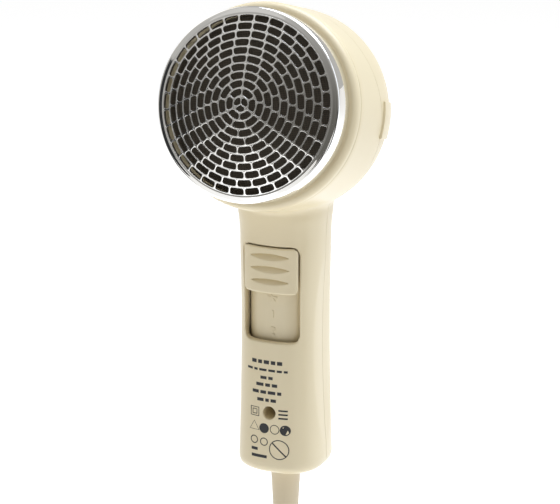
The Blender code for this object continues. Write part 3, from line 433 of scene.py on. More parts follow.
plug_place = Matrix.Translation((plug_x, plug_y, 0))
plug_moulding = piece("plug_moulding", plug_shape, plug_black, "housing", plug_place)
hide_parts("plug_body")
for number, side in ((1, -1), (2, 1)):
    low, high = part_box("plug_pin_%d" % number)
    pin_outline = [(0, low.z), (0.0012, low.z), (0.0020, low.z + 0.0009), (0.0020, high.z), (0, high.z)]
    pin_shape = turned(pin_outline, 32, True)
    soften(pin_shape, 0.0003, 3)
    pin = piece("socket_pin_%d" % number, pin_shape, brass, "housing",
                Matrix.Translation(((low.x + high.x) / 2, plug_y, 0)))
    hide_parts("plug_pin_%d" % number)


# ---- housing shells --------------------------------------
# Two injection moulded halves in glossy cream ABS, parted on the plane through the handle's line.
# The drum narrows to the nozzle, and the handle runs into it with a small fillet.
cream = finish("cream_plastic", (0.78, 0.675, 0.455), (0.76, 0.655, 0.435), (0.27, 0.34),
               drift=9, grain=1100, depth=0.000012)
barrel = Matrix.Translation((0, 0, 0.100)) @ Matrix.Rotation(math.radians(-15), 4, "X")
to_barrel = barrel.inverted()
drum_radius = 0.0420
drum_start, drum_full, nozzle_end, nozzle_radius = -0.0247, 0.0010, 0.0456, 0.0258
wall = 0.0022
shoulder = [(0.00, 1.0), (0.12, 0.98), (0.24, 0.91), (0.36, 0.79), (0.48, 0.63), (0.62, 0.42),
            (0.80, 0.17), (1.0, 0.0)]


def smooth_through(points, parts):
    """Points read from a smooth curve through the given ones."""
    ends = [[2 * a - b for a, b in zip(points[0], points[1])], *points,
            [2 * a - b for a, b in zip(points[-1], points[-2])]]
    result = []
    for i in range(1, len(ends) - 2):
        for j in range(parts):
            t = j / parts
            result.append(tuple(0.5 * (2 * b + (c - a) * t + (2 * a - 5 * b + 4 * c - d) * t * t
                                       + (3 * b - a - 3 * c + d) * t ** 3)
                                for a, b, c, d in zip(*ends[i - 1:i + 3])))
    result.append(tuple(points[-1]))
    return result


shoulder_line = [(nozzle_radius + (drum_radius - nozzle_radius) * share,
                  drum_full + (nozzle_end - drum_full) * along)
                 for along, share in smooth_through(shoulder, 6)]


def barrel_radius(along):
    """Radius of the drum and shoulder at a place along the barrel."""
    if along <= drum_full:
        return drum_radius
    for (r0, a0), (r1, a1) in zip(shoulder_line, shoulder_line[1:]):
        if along <= a1:
            return r0 + (r1 - r0) * (along - a0) / (a1 - a0)
    return nozzle_radius


grip_half = 0.0176


def handle_half(z):
    """Half width of the handle: flared under the drum, slim at the grip, wider at the foot."""
    if z > 0.046:
        rise = (z - 0.046) / 0.012
        return 0.0180 + 0.0008 * min(rise, 1.0) ** 2
    if z > 0.020:
        return grip_half + 0.0004 * (z - 0.020) / 0.026
    fall = min(1.0, (0.020 - z) / 0.0725)
    return grip_half + 0.0013 * fall * fall


def around(half, angle, squareness=2.6):
    c, s = math.cos(angle), math.sin(angle)
    reach = (abs(c) ** squareness + abs(s) ** squareness) ** (-1 / squareness)
    return half * reach * c, half * reach * s


def handle_skin(angle, z):
    """A point of the handle's outside, with the long finger hollows in its flanks."""
    x, y = around(handle_half(z), angle)
    inside = 1 - (y / 0.0094) ** 2 - ((z + 0.0020) / 0.0415) ** 2
    if inside > 0:
        x -= math.copysign(0.0010 * inside, x)
    return Vector((x, y, z))


def meeting_height(angle):
    """Height at which the handle's line at this angle meets the barrel."""
    low, high = 0.048, 0.090
    for _ in range(30):
        middle = (low + high) / 2
        spot = to_barrel @ handle_skin(angle, middle)
        if math.hypot(spot.x, spot.z) > barrel_radius(spot.y):
            low = middle
        else:
            high = middle
    return low


def onto_barrel(point, sink):
    spot = to_barrel @ point
    shrink = (barrel_radius(spot.y) - sink) / math.hypot(spot.x, spot.z)
    return barrel @ Vector((spot.x * shrink, spot.y, spot.z * shrink))


around_count, side_rows, fillet_rows = 128, 72, 7
fillet = 0.0036
foot_rows = [(0.0058, -0.0550, 2.0), (0.0080, -0.05500, 2.1), (0.0104, -0.05495, 2.3),
             (0.0132, -0.0547, 2.5), (0.0157, -0.0540, 2.6), (0.0174, -0.05305, 2.6),
             (0.0183, -0.0521, 2.6), (0.01865, -0.0510, 2.6)]
inner_rows = [0.0730, 0.0580, 0.0460, 0.0200, 0.0000, -0.0250, -0.0500]


def handle_row(row, angle):
    """Where one row of the handle's grid goes: foot, outside, fillet, then the inside back down."""
    if row < len(foot_rows):
        half, z, squareness = foot_rows[row]
        x, y = around(half, angle, squareness)
        return Vector((x, y, z))
    row -= len(foot_rows)
    top = meeting_height(angle) - fillet
    if row < side_rows:
        return handle_skin(angle, -0.0500 + (top + 0.0500) * row / (side_rows - 1))
    row -= side_rows
    if row < fillet_rows:
        start = handle_skin(angle, top)
        corner = onto_barrel(handle_skin(angle, top + fillet), 0)
        outward = Vector((corner.x, corner.y, 0)).normalized()
        end = onto_barrel(corner + outward * fillet, 0.00004)
        t = (row + 1) / fillet_rows
        return start * (1 - t) ** 2 + corner * 2 * t * (1 - t) + end * t * t
    row -= fillet_rows
    if row < len(inner_rows):
        z = inner_rows[row]
        x, y = around(min(handle_half(z), 0.0185) - wall, angle)
        return Vector((x, y, z))
    x, y = around(0.0058, angle, 2.0)
    return Vector((x, y, -0.0528))


def handle_shell():
    rows = len(foot_rows) + side_rows + fillet_rows + len(inner_rows) + 1
    shape = bmesh.new()
    bmesh.ops.create_grid(shape, x_segments=around_count, y_segments=rows, size=0.5)
    for corner in shape.verts:
        angle = 2 * math.pi * (corner.co.x + 0.5)
        row = round((corner.co.y + 0.5) * rows)
        corner.co = handle_row(0 if row == rows else row, angle)
    bmesh.ops.remove_doubles(shape, verts=shape.verts, dist=2e-6)
    face_out(shape)
    return shape


def barrel_shell():
    skin = [(drum_radius - 0.0007, drum_start), (drum_radius - 0.0003, drum_start + 0.0001),
            (drum_radius - 0.0001, drum_start + 0.0003), (drum_radius, drum_start + 0.0007)]
    skin += [(drum_radius, drum_start + 0.0040 * i) for i in range(1, 6)]
    skin += shoulder_line
    skin += [(nozzle_radius - wall, nozzle_end)]
    skin += [(r - wall, a) for r, a in reversed(shoulder_line[:-4])]
    skin += [(drum_radius - wall, drum_start)]
    shape = turned(skin, 160)
    bmesh.ops.transform(shape, matrix=barrel, verts=shape.verts)
    return shape


def add_body(shape, extra):
    """Put another bmesh's body into this one."""
    carrier = bpy.data.meshes.new("carrier")
    extra.to_mesh(carrier)
    extra.free()
    shape.from_mesh(carrier)
    bpy.data.meshes.remove(carrier)


def halved(shape, side, gap=0.0001):
    """What lies on one side of the parting plane, closed again along the cut."""
    cut = bmesh.ops.bisect_plane(shape, geom=shape.verts[:] + shape.edges[:] + shape.faces[:], dist=1e-7,
                                 plane_co=(0, side * gap, 0), plane_no=(0, -side, 0), clear_outer=True)
    rim = [e for e in cut["geom_cut"] if isinstance(e, bmesh.types.BMEdge) and e.is_boundary]
    bmesh.ops.triangle_fill(shape, edges=rim, use_beauty=True, use_dissolve=False, normal=(0, -side, 0))
    face_out(shape)
    return shape


def carve(shape, cutter):
    """What is left of one closed body when another is cut out of it; both bmeshes are used up."""
    bmesh.ops.triangulate(cutter, faces=cutter.faces[:])
    bodies = []
    for body in (shape, cutter):
        data = bpy.data.meshes.new("body")
        body.to_mesh(data)
        body.free()
        bodies.append(bpy.data.objects.new("body", data))
        bpy.context.scene.collection.objects.link(bodies[-1])
    step = bodies[0].modifiers.new("carve", "BOOLEAN")
    step.operation = "DIFFERENCE"
    step.solver = "EXACT"
    step.object = bodies[1]
    bpy.context.view_layer.update()
    left = bmesh.new()
    left.from_object(bodies[0], bpy.context.evaluated_depsgraph_get())
    for body in bodies:
        data = body.data
        bpy.data.objects.remove(body)
        bpy.data.meshes.remove(data)
    return left


def rear_y(x, z):
    """Rear face of the handle over a place (x, z)."""
    half = handle_half(z)
    return -half * (1 - abs(x / half) ** 2.6) ** (1 / 2.6)


def flared_opening(width, height, corner, middle_z, rounding, depth):
    """Cutter for an opening in the handle's rear face: rounded corners and a rolled outer edge."""
    steps = [(rounding + 0.0006, 0.0), (rounding + 0.00005, 0.0004)]
    for i in range(7):
        angle = math.pi / 2 * i / 6
        steps.append((rounding * (1 - math.sin(angle)), -rounding * (1 - math.cos(angle))))
    steps.append((0.0, -depth))
    flat = {0: -0.030, len(steps) - 1: rear_y(0, middle_z) + depth}
    shape = bmesh.new()
    rings = []
    for step, (grow, lift) in enumerate(steps):
        ring = bmesh.ops.create_circle(shape, segments=72, radius=1.0)["verts"]
        for v in ring:
            c, s = v.co.x, v.co.y
            span = max(abs(c), abs(s))
            x = max(-1, min(1, c / span)) * (width / 2 + grow)
            z = max(-1, min(1, s / span)) * (height / 2 + grow)
            limit_x, limit_z = width / 2 - corner, height / 2 - corner
            if abs(x) > limit_x and abs(z) > limit_z:
                out = Vector((abs(x) - limit_x, abs(z) - limit_z)).normalized() * (corner + grow)
                x = math.copysign(limit_x + out.x, x)
                z = math.copysign(limit_z + out.y, z)
            v.co = Vector((x, flat.get(step, rear_y(x, middle_z) - lift), middle_z + z))
        rings.append([e for e in shape.edges if e.verts[0] in set(ring) and e.verts[1] in set(ring)])
    for low, high in zip(rings, rings[1:]):
        bmesh.ops.bridge_loops(shape, edges=low + high)
    bmesh.ops.holes_fill(shape, edges=shape.edges[:], sides=0)
    face_out(shape)
    bmesh.ops.triangulate(shape, faces=shape.faces[:])
    return shape


window_low, window_high = 0.0046, 0.0461
window_middle = (window_low + window_high) / 2
window_width = 0.0244
screw_z = -0.0265
openings = [flared_opening(window_width, window_high - window_low, 0.0030, window_middle, 0.0008, 0.012),
            flared_opening(0.0056, 0.0056, 0.00279, screw_z, 0.0004, 0.0105)]
rear_grip = halved(handle_shell(), -1)
for opening in openings:
    rear_grip = carve(rear_grip, opening)
skirt_thick, skirt_depth = 0.0009, 0.0036
for side in (-1, 1):
    skirt_x = side * (window_width / 2 + 0.00002 + skirt_thick / 2)
    skirt_size = (skirt_thick, skirt_depth, window_high - window_low + 0.0010)
    add_body(rear_grip, block(skirt_size, (skirt_x, -0.0099, window_middle)))
for name, side, grip in (("rear_shell", -1, rear_grip), ("front_shell", 1, halved(handle_shell(), 1))):
    body = halved(barrel_shell(), side)
    add_body(body, grip)
    shell = piece(name + "_moulding", body, cream, "housing", crease=32)
    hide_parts(name)

# ---- screw bosses and handle screw -----------------------
# A sunk tube in the rear half guides one cross-head steel screw into a post in the front half.
screw_place = Matrix.Translation((0, 0, screw_z))
boss_reach = 0.0168
boss = turned([(0.0016, -0.0062), (0.0028, -0.0062), (0.0028, -boss_reach), (0.0046, -boss_reach),
               (0.0046, -0.0003), (0.0016, -0.0003)], 48)
boss = piece("screw_tube", boss, cream, "housing", screw_place)
post = turned([(0.0016, 0.0004), (0.0034, 0.0004), (0.0034, boss_reach), (0, boss_reach), (0, 0.0105),
               (0.0016, 0.0105)], 32)
post = piece("screw_post", post, cream, "housing", screw_place)
steel = finish("steel", (0.55, 0.55, 0.54), (0.48, 0.48, 0.47), (0.22, 0.36), 1.0, drift=300, grain=2500)
dark_steel = finish("dark_steel", (0.16, 0.17, 0.15), (0.10, 0.11, 0.10), (0.28, 0.42), 1.0, drift=500)
head_y = -0.0065
screw = turned([(0, head_y - 0.0018), (0.0012, head_y - 0.00175), (0.0020, head_y - 0.0014),
                (0.0025, head_y - 0.0008), (0.0026, head_y), (0.0013, head_y), (0.0013, 0.0090),
                (0, 0.0100)], 40)
for width, height in ((0.0034, 0.0007), (0.0007, 0.0034)):
    screw = carve(screw, block((width, 0.0016, height), (0, head_y - 0.0018, 0)))
screw = piece("handle_screw_head", screw, dark_steel, "housing", screw_place)
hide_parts("handle_screw")

# ---- filter cap: chrome grille ---------------------------
# A pressed and chromed cap: a shallow dome with eleven rings of slots, a rolled rim and a straight
# side wall.  Each ring has three more slots than the one inside it.
chrome = finish("chrome", (0.90, 0.89, 0.86), (0.86, 0.85, 0.82), (0.035, 0.075), 1.0, drift=30, grain=600,
                depth=0.000004)
rim_y = -0.0384
dome_apex = rim_y - 0.0036 - 0.0054
ring_pitch = 0.00326
web = 0.00056


def dome_y(radius):
    return dome_apex + 0.0054 * (radius / 0.0360) ** 2


def slot_cell(ring_number):
    """One slot of a ring with the metal round it, bent onto the dome."""
    middle = (ring_number - 0.5) * ring_pitch
    width = 2 * math.pi * middle / (3 * ring_number)
    round_end = 0.0010
    half_x, half_z = (width - web) / 2, (ring_pitch - web) / 2
    round_end = min(round_end, half_x * 0.8)
    cell = bmesh.new()
    edge = bmesh.ops.create_circle(cell, segments=24, radius=1.0)["verts"]
    hole = bmesh.ops.create_circle(cell, segments=24, radius=1.0)["verts"]
    for v in edge:
        span = max(abs(v.co.x), abs(v.co.y))
        v.co = Vector((v.co.x / span * width / 2, v.co.y / span * ring_pitch / 2, 0))
    for v in hole:
        x, z = v.co.x, v.co.y
        core_x = math.copysign(half_x - round_end, x) if abs(x) > 1e-6 else 0
        core_z = math.copysign(half_z - round_end, z) if abs(z) > 1e-6 else 0
        v.co = Vector((core_x + round_end * x, core_z + round_end * z, 0))
    bmesh.ops.bridge_loops(cell, edges=cell.edges[:])
    for v in cell.verts:
        radius = max(middle + v.co.y, 0.00012)
        angle = v.co.x / middle + math.pi / (3 * ring_number)
        v.co = Vector((radius * math.sin(angle), dome_y(radius), radius * math.cos(angle)))
    copies = 3 * ring_number - 1
    bmesh.ops.spin(cell, geom=cell.verts[:] + cell.edges[:] + cell.faces[:], cent=(0, 0, 0), axis=(0, 1, 0),
                   angle=2 * math.pi * copies / (copies + 1), steps=copies, use_duplicate=True)
    bmesh.ops.remove_doubles(cell, verts=cell.verts, dist=4e-6)
    return cell


grille = bmesh.new()
for ring_number in range(1, 12):
    ring_band = slot_cell(ring_number)
    face_out(ring_band)
    upward = sum(f.normal.y * f.calc_area() for f in ring_band.faces)
    if upward > 0:
        bmesh.ops.reverse_faces(ring_band, faces=ring_band.faces)
    bmesh.ops.solidify(ring_band, geom=ring_band.faces[:], thickness=0.0011)
    face_out(ring_band)
    top_lips = [e for e in ring_band.edges if e.is_manifold and e.calc_face_angle() > 1.0
                and all(f.normal.y < 0.5 for f in e.link_faces)
                and any(f.normal.y < -0.8 for f in e.link_faces)]
    bmesh.ops.bevel(ring_band, geom=top_lips, offset=0.00020, offset_type="OFFSET", affect="EDGES",
                    segments=2, profile=0.5, material=-1, clamp_overlap=True)
    add_body(grille, ring_band)
rim_inner = 11 * ring_pitch
rim_outline = [(rim_inner - 0.0001, dome_y(rim_inner)), (0.0363, dome_y(0.0360)), (0.0368, dome_y(0.0362)),
               (0.0374, dome_y(0.0365) + 0.0002)]
for i in range(1, 9):              # rolled rim
    angle = math.pi / 2 * i / 8
    rim_outline.append((0.0374 + 0.0016 * math.sin(angle),
                        dome_y(0.0365) + 0.0018 - 0.0016 * math.cos(angle)))
rim_outline += [(0.0390, -0.0350), (0.0390, -0.0320), (0.0390, -0.0302), (0.0377, -0.0302),
                (0.0377, -0.0380), (0.0366, dome_y(0.0365) + 0.0016),
                (rim_inner - 0.0001, dome_y(rim_inner) + 0.0011)]
rim = turned(rim_outline, 192)
add_body(grille, rim)
grille = piece("chrome_grille", grille, chrome, "filter_cap", barrel, crease=50)
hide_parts("intake_grille")

# ---- filter cap: ring and filter -------------------------
# The cream ring carries the chrome cap and plugs into the drum.  A fine nylon gauze behind the
# grille keeps lint out of the fan.
groove_y = -0.0298
ring_outline = [(0.0359, -0.0364), (0.0374, -0.0364), (0.0374, groove_y), (0.0384, groove_y),
                (0.0384, groove_y + 0.0009), (0.0394, groove_y + 0.0009)]
for i in range(1, 7):
    angle = math.pi / 2 * i / 6
    ring_outline.append((0.0394 + 0.0026 * math.sin(angle),
                         groove_y + 0.0009 + 0.0028 * (1 - math.cos(angle))))
ring_outline += [(0.0420, -0.0252), (0.0416, -0.0250), (0.0395, -0.0250), (0.0395, -0.0194),
                 (0.0359, -0.0194)]
cap = turned(ring_outline, 192)
soften(cap, 0.00015, 2, 50)
cap = piece("cap_ring_moulding", cap, cream, "filter_cap", barrel)
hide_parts("cap_ring")


def gauze(name, pitch):
    """Woven nylon: two crossed sets of threads, dark between them."""
    material = finish(name, (0.035, 0.027, 0.016), (0.05, 0.04, 0.025), (0.6, 0.75))
    nodes, links = material.node_tree.nodes, material.node_tree.links
    place = nodes["Texture Coordinate"]
    threads = nodes.new("ShaderNodeMath")
    threads.operation = "MAXIMUM"
    for slot_number, direction in enumerate(("X", "Z")):
        wave = nodes.new("ShaderNodeTexWave")
        wave.bands_direction = direction
        wave.inputs["Scale"].default_value = math.pi / (10 * pitch)
        links.new(place.outputs["Object"], wave.inputs["Vector"])
        links.new(wave.outputs["Fac"], threads.inputs[slot_number])
    bump = next(n for n in nodes if n.bl_idname == "ShaderNodeBump")
    bump.inputs["Distance"].default_value = 0.0002
    links.new(threads.outputs["Value"], bump.inputs["Height"])
    tone = next(n for n in nodes if n.bl_idname == "ShaderNodeMix")
    tone.inputs["A"].default_value = (0.008, 0.006, 0.004, 1)
    tone.inputs["B"].default_value = (0.075, 0.058, 0.036, 1)
    links.new(threads.outputs["Value"], tone.inputs["Factor"])
    return material


filter_gauze = gauze("filter_gauze", 0.0007)
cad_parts["intake_filter"].material_slots[0].material = filter_gauze

# ---- side pads -------------------------------------------
# Small raised pads moulded on the drum's flanks where the barrel starts to narrow.
def thicken(sheet, thickness, outwards=(0, -1, 0)):
    """Give an open sheet a wall behind the side that faces outwards."""
    face_out(sheet)
    if sum(f.normal.dot(Vector(outwards)) for f in sheet.faces) < 0:
        bmesh.ops.reverse_faces(sheet, faces=sheet.faces)
    bmesh.ops.solidify(sheet, geom=sheet.faces[:], thickness=thickness)
    face_out(sheet)


for name, side in (("side_trim_left", -1), ("side_trim_right", 1)):
    pad = bmesh.new()
    bmesh.ops.create_grid(pad, x_segments=12, y_segments=24, size=0.5)
    for v in pad.verts:
        along = 0.0012 + 0.0110 * (v.co.x + 0.5)
        angle = (v.co.y * 0.0152 - 0.0005) / 0.042
        radius = barrel_radius(along) + 0.0009
        v.co = Vector((side * radius * math.cos(angle), along, radius * math.sin(angle)))
    thicken(pad, 0.0032, (side, 0, 0))
    soften(pad, 0.00025, 2, 60)
    pad = piece(name + "_pad", pad, cream, "housing", barrel)
    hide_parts(name)

# ---- switch panel ----------------------------------------
# A sunk cream plate under the window, clipped in from behind, with raised setting marks: a plain
# star for cool air and the numbers 1 and 2.
panel_half = grip_half - 0.0034


def bent_y(x, half, squareness=2.6):
    return -half * (1 - min(1.0, abs(x / half)) ** squareness) ** (1 / squareness)


def bent_plate(width, low, high, corner, half, thick):
    """A thin plate that follows the handle's rear curve, with rounded corners."""
    plate = bmesh.new()
    middle_z = (low + high) / 2
    columns, rows = 28, 24
    bmesh.ops.create_grid(plate, x_segments=columns, y_segments=rows, size=0.5)
    for v in plate.verts:
        x, z = v.co.x * width, v.co.y * (high - low)
        limit_x, limit_z = width / 2 - corner, (high - low) / 2 - corner
        if abs(x) > limit_x and abs(z) > limit_z:
            across, up = (abs(x) - limit_x) / corner, (abs(z) - limit_z) / corner
            span = max(across, up)
            out = math.hypot(across, up)
            across, up = across * span / out, up * span / out
            x = math.copysign(limit_x + across * corner, x)
            z = math.copysign(limit_z + up * corner, z)
        v.co = Vector((x, bent_y(x, half), middle_z + z))
    thicken(plate, thick)
    return plate


panel = bent_plate(0.0232, window_low - 0.0014, window_high + 0.0014, 0.0012, panel_half, 0.0013)
soften(panel, 0.0002, 2, 60)


def raised_mark(flat, at_x, at_z, proud, half):
    """Wrap a flat mark, drawn in X and Y, onto the rear curve and give it thickness."""
    bmesh.ops.subdivide_edges(flat, edges=[e for e in flat.edges if e.calc_length() > 0.0012], cuts=2,
                              use_grid_fill=True)
    for v in flat.verts:
        x = v.co.x + at_x
        v.co = Vector((x, bent_y(x, half) - proud, at_z + v.co.y))
    thicken(flat, proud + 0.0001)
    return flat


def stroke(length, width, turn=0.0, centre=(0, 0)):
    bar = bmesh.new()
    bmesh.ops.create_grid(bar, x_segments=8, y_segments=1, size=0.5)
    bmesh.ops.scale(bar, vec=(length, width, 1), verts=bar.verts)
    bmesh.ops.rotate(bar, cent=(0, 0, 0), matrix=Matrix.Rotation(turn, 3, "Z"), verts=bar.verts)
    bmesh.ops.translate(bar, vec=(*centre, 0), verts=bar.verts)
    return bar


mark_proud, mark_width = 0.00030, 0.0006
for i in range(3):
    arm = stroke(0.0042, mark_width, math.pi * i / 3)
    add_body(panel, raised_mark(arm, 0, 0.0233, mark_proud, panel_half))
digit_strokes = {
    "1": [(0.0030, math.pi / 2, (0.0002, 0)), (0.0011, 0.8, (-0.0002, 0.0011))],
    "2": [(0.0014, 0, (0, 0.0014)), (0.0016, math.pi / 2, (0.0008, 0.0008)), (0.0024, 0.95, (0, -0.0006)),
          (0.0020, 0, (0, -0.0015))],
}
for digit, place_z in (("1", 0.0160), ("2", 0.0086)):
    for length, turn, centre in digit_strokes[digit]:
        line = stroke(length, mark_width, turn, centre)
        add_body(panel, raised_mark(line, 0, place_z, mark_proud, panel_half))
panel = piece("setting_panel", panel, cream, "housing")
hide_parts("switch_panel")

# ---- slider ----------------------------------------------
# The thumb piece of the heat and air switch: a cream plate with three lens-shaped finger grooves,
# flush with the handle's skin, on two tongues that pass the panel to the carrier behind it.
thumb_wide, thumb_tall, thumb_corner = 0.0238, 0.0198, 0.0022
thumb_high = window_high - 0.0003
thumb_middle = thumb_high - thumb_tall / 2
thumb_half = grip_half + 0.0006
thumb = bmesh.new()
bmesh.ops.create_grid(thumb, x_segments=96, y_segments=80, size=0.5)
grooves = [(thumb_high - 0.0041, 0.0016), (thumb_high - 0.0095, 0.0016), (thumb_high - 0.0148, 0.0014)]
for v in thumb.verts:
    corner = thumb_corner
    x, z = v.co.x * thumb_wide, v.co.y * thumb_tall
    limit_x, limit_z = thumb_wide / 2 - corner, thumb_tall / 2 - corner
    if abs(x) > limit_x and abs(z) > limit_z:
        across, up = (abs(x) - limit_x) / corner, (abs(z) - limit_z) / corner
        stretch = max(across, up) / math.hypot(across, up)
        x = math.copysign(limit_x + across * stretch * corner, x)
        z = math.copysign(limit_z + up * stretch * corner, z)
    z += thumb_middle
    dip = 0
    for groove_z, reach in grooves:
        lens = reach * (1 - min(1.0, abs(x / 0.0088)) ** 2)
        if lens > 0:
            rise = (z - groove_z) / lens
            if abs(rise) < 1:      # steep at the top of the groove, easing out at the bottom
                up = (rise + 1) / 2
                dip = 0.0024 * (lens / reach) ** 0.6 * up ** 1.3 * (1 - max(0.0, (up - 0.72) / 0.28) ** 2)
    edge = min(thumb_wide / 2 - abs(x), thumb_tall / 2 - abs(z - thumb_middle))
    rolled = 0.0004 * max(0.0, 1 - edge / 0.0007) ** 2
    v.co = Vector((x, bent_y(x, thumb_half) + dip + rolled, z))
thicken(thumb, 0.0030)
for side in (-1, 1):
    tongue = block((0.00024, 0.0066, 0.0090), (side * 0.01178, -0.0095, thumb_middle), 0.0001)
    add_body(thumb, tongue)
thumb = piece("thumb_slider", thumb, cream, "slider")
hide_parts("slider_button")

# ---- nozzle ring and guard -------------------------------
# A black heat-resistant ring is pressed into the nozzle and holds a welded wire guard.
black_nylon = finish("black_nylon", (0.018, 0.018, 0.019), (0.026, 0.026, 0.027), (0.36, 0.5), grain=1300,
                     depth=0.00003)
mouth = nozzle_end + 0.0042
ring_outline = [(0.0221, nozzle_end - 0.0045), (0.0233, nozzle_end - 0.0045), (0.0233, nozzle_end + 0.0003),
                (0.0258, nozzle_end + 0.0003), (0.0258, mouth - 0.0010), (0.0256, mouth - 0.0004),
                (0.0251, mouth - 0.0001), (0.0246, mouth), (0.0232, mouth), (0.0224, mouth - 0.0004),
                (0.0221, mouth - 0.0012)]
nozzle_ring = piece("nozzle_ring", turned(ring_outline, 128), black_nylon, "housing", barrel, 40)
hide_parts("outlet_ring")


def wire_ring(radius, along, thickness):
    shape = bmesh.new()
    wire_edge = bmesh.ops.create_circle(shape, segments=10, radius=thickness)["verts"]
    bmesh.ops.translate(shape, vec=(radius, 0, 0), verts=wire_edge)
    bmesh.ops.spin(shape, geom=shape.verts[:] + shape.edges[:], cent=(0, 0, 0), axis=(0, 1, 0),
                   angle=2 * math.pi, steps=72, use_merge=True)
    bmesh.ops.translate(shape, vec=(0, along, 0), verts=shape.verts)
    bmesh.ops.remove_doubles(shape, verts=shape.verts, dist=1e-6)
    face_out(shape)
    return shape


guard_y = nozzle_end - 0.0032
guard = bmesh.new()
for radius in (0.0050, 0.0090, 0.0130, 0.0170, 0.0212):
    add_body(guard, wire_ring(radius, guard_y, 0.0005))
for i in range(3):
    bar = bmesh.new()
    bmesh.ops.create_cone(bar, cap_ends=True, segments=10, radius1=0.0005, radius2=0.0005, depth=0.0424)
    bmesh.ops.rotate(bar, cent=(0, 0, 0), matrix=Matrix.Rotation(math.pi * i / 3, 3, "Y"), verts=bar.verts)
    bmesh.ops.translate(bar, vec=(0, guard_y + 0.0009, 0), verts=bar.verts)
    add_body(guard, bar)
guard = piece("wire_guard", guard, steel, "housing", barrel)
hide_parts("outlet_grille")

# ---- fan, motor, heater and switch parts -----------------
# The pieces inside keep the shapes of the assembly.  Each gets the finish of what it is made of.
grey_nylon = finish("grey_nylon", (0.20, 0.20, 0.19), (0.24, 0.24, 0.23), (0.45, 0.6), grain=1200,
                    depth=0.00003)
ferrite = finish("ferrite", (0.06, 0.06, 0.065), (0.09, 0.09, 0.095), (0.5, 0.7), drift=400, grain=2500)
copper = finish("copper", (0.66, 0.30, 0.14), (0.52, 0.20, 0.09), (0.22, 0.4), 1.0, drift=700, grain=4000,
                depth=0.0001)
carbon = finish("carbon", (0.018, 0.018, 0.019), (0.04, 0.04, 0.042), (0.55, 0.8), drift=900)
board = finish("board", (0.03, 0.16, 0.07), (0.05, 0.22, 0.10), (0.3, 0.5), drift=500, grain=3000)
mica = finish("mica", (0.62, 0.56, 0.46), (0.46, 0.40, 0.31), (0.35, 0.6), drift=160, grain=900, depth=0.0001)
nichrome = finish("nichrome", (0.36, 0.34, 0.33), (0.24, 0.22, 0.22), (0.25, 0.45), 1.0, drift=600)
ceramic = finish("ceramic", (0.82, 0.81, 0.77), (0.76, 0.75, 0.70), (0.25, 0.4), drift=200)
yellow_case = finish("yellow_case", (0.72, 0.52, 0.08), (0.66, 0.46, 0.06), (0.3, 0.42), drift=120)
sleeve = finish("wire_sleeve", (0.30, 0.05, 0.03), (0.24, 0.04, 0.03), (0.38, 0.5), grain=2000)
bush_rubber = finish("bush_rubber", (0.02, 0.02, 0.02), (0.03, 0.03, 0.03), (0.7, 0.85), grain=1800)
inside_finishes = {
    steel: ("motor_can", "motor_shaft", "thermostat", "clamp_screw_left", "clamp_screw_right"),
    black_nylon: ("fan_impeller", "motor_end_cap", "rectifier_bridge", "slider_carrier", "switch_body",
                  "cord_clamp"),
    grey_nylon: ("fan_duct",),
    ferrite: ("magnet_left", "magnet_right"),
    copper: ("armature",),
    brass: ("commutator", "switch_terminal_1", "switch_terminal_2", "switch_terminal_3"),
    carbon: ("brush_left", "brush_right"),
    bush_rubber: ("motor_bush_rear", "motor_bush_front"),
    board: ("rectifier_board",),
    mica: ("mica_cross", "mica_tube"),
    nichrome: ("heater_coil_rear", "heater_coil_front"),
    ceramic: ("thermal_fuse",),
    yellow_case: ("suppression_capacitor",),
    sleeve: ("lead_live", "lead_heater"),
    cream_rubber: ("inner_cable",),
}
for material, names in inside_finishes.items():
    for name in names:
        for material_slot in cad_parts[name].material_slots:
            material_slot.material = material

# ---- rating print ----------------------------------------
# Pad-printed black marks on the rear of the grip.  They stand for a rating plate and hold no words:
# rows of plain dashes, squares, rings and discs.
ink = finish("print_ink", (0.012, 0.012, 0.012), (0.02, 0.02, 0.02), (0.45, 0.6), grain=1500)
print_lift = 0.00004


def print_mark(flat, at_x, at_z):
    """Lay a flat mark on the handle's rear face as a thin film."""
    bmesh.ops.subdivide_edges(flat, edges=[e for e in flat.edges if e.calc_length() > 0.0014], cuts=2,
                              use_grid_fill=True)
    for v in flat.verts:
        x, z = v.co.x + at_x, v.co.y + at_z
        v.co = Vector((x, rear_y(x, z) - print_lift, z))
    thicken(flat, print_lift + 0.00002)
    return flat


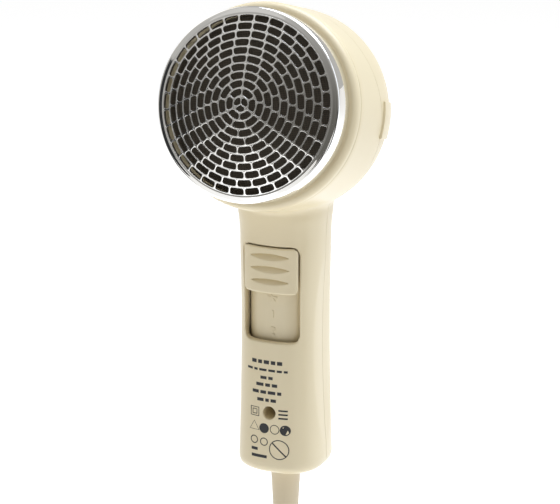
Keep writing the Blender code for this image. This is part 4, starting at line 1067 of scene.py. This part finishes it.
def flat_ring(outer_radius, inner_radius, sides=32):
    shape = bmesh.new()
    if inner_radius:
        bmesh.ops.create_circle(shape, segments=sides, radius=outer_radius)
        bmesh.ops.create_circle(shape, segments=sides, radius=inner_radius)
        bmesh.ops.bridge_loops(shape, edges=shape.edges[:])
    else:
        bmesh.ops.create_circle(shape, segments=sides, radius=outer_radius, cap_ends=True)
        bmesh.ops.inset_region(shape, faces=shape.faces[:], thickness=outer_radius * 0.5)
    if sides == 4:
        bmesh.ops.rotate(shape, cent=(0, 0, 0), matrix=Matrix.Rotation(math.pi / 4, 3, "Z"), verts=shape.verts)
    return shape


marks = bmesh.new()
rows = [(-0.0043, 0.0016, (0.0022, 0.0018, 0.0024, 0.0020, 0.0022)),
        (-0.0078, 0.0010, (0.0026, 0.0016, 0.0034, 0.0030, 0.0022, 0.0016)),
        (-0.0112, 0.0013, (0.0028, 0.0020)),
        (-0.0143, 0.0014, (0.0034, 0.0022, 0.0024)),
        (-0.0176, 0.0014, (0.0030, 0.0026, 0.0034, 0.0018)),
        (-0.0210, 0.0014, (0.0030, 0.0016, 0.0024))]
for row_z, height, dashes in rows:
    start = -(sum(dashes) + 0.0008 * (len(dashes) - 1)) / 2 - 0.0012
    for length in dashes:
        add_body(marks, print_mark(stroke(length, height), start + length / 2, row_z))
        start += length + 0.0008
add_body(marks, print_mark(flat_ring(0.0029, 0.0025, 4), -0.0066, -0.0266))
add_body(marks, print_mark(flat_ring(0.0016, 0.0012, 4), -0.0066, -0.0266))
for i in range(3):
    add_body(marks, print_mark(stroke(0.0040, 0.0007), 0.0062, -0.0250 - 0.0017 * i))
add_body(marks, print_mark(flat_ring(0.0027, 0.0024, 3), -0.0068, -0.0334))
add_body(marks, print_mark(flat_ring(0.0022, 0.0), -0.0022, -0.0336))
add_body(marks, print_mark(flat_ring(0.0021, 0.0018), 0.0026, -0.0336))
add_body(marks, print_mark(flat_ring(0.0023, 0.0), 0.0072, -0.0336))
add_body(marks, print_mark(flat_ring(0.0018, 0.0014), -0.0068, -0.0392))
add_body(marks, print_mark(flat_ring(0.0018, 0.0014), -0.0022, -0.0396))
add_body(marks, print_mark(flat_ring(0.0044, 0.0040), 0.0046, -0.0424))
add_body(marks, print_mark(stroke(0.0080, 0.0006, -0.75), 0.0046, -0.0424))
add_body(marks, print_mark(stroke(0.0030, 0.0013), -0.0066, -0.0432))
add_body(marks, print_mark(stroke(0.0072, 0.0013), -0.0044, -0.0462))
marks = piece("rating_marks", marks, ink, "housing")
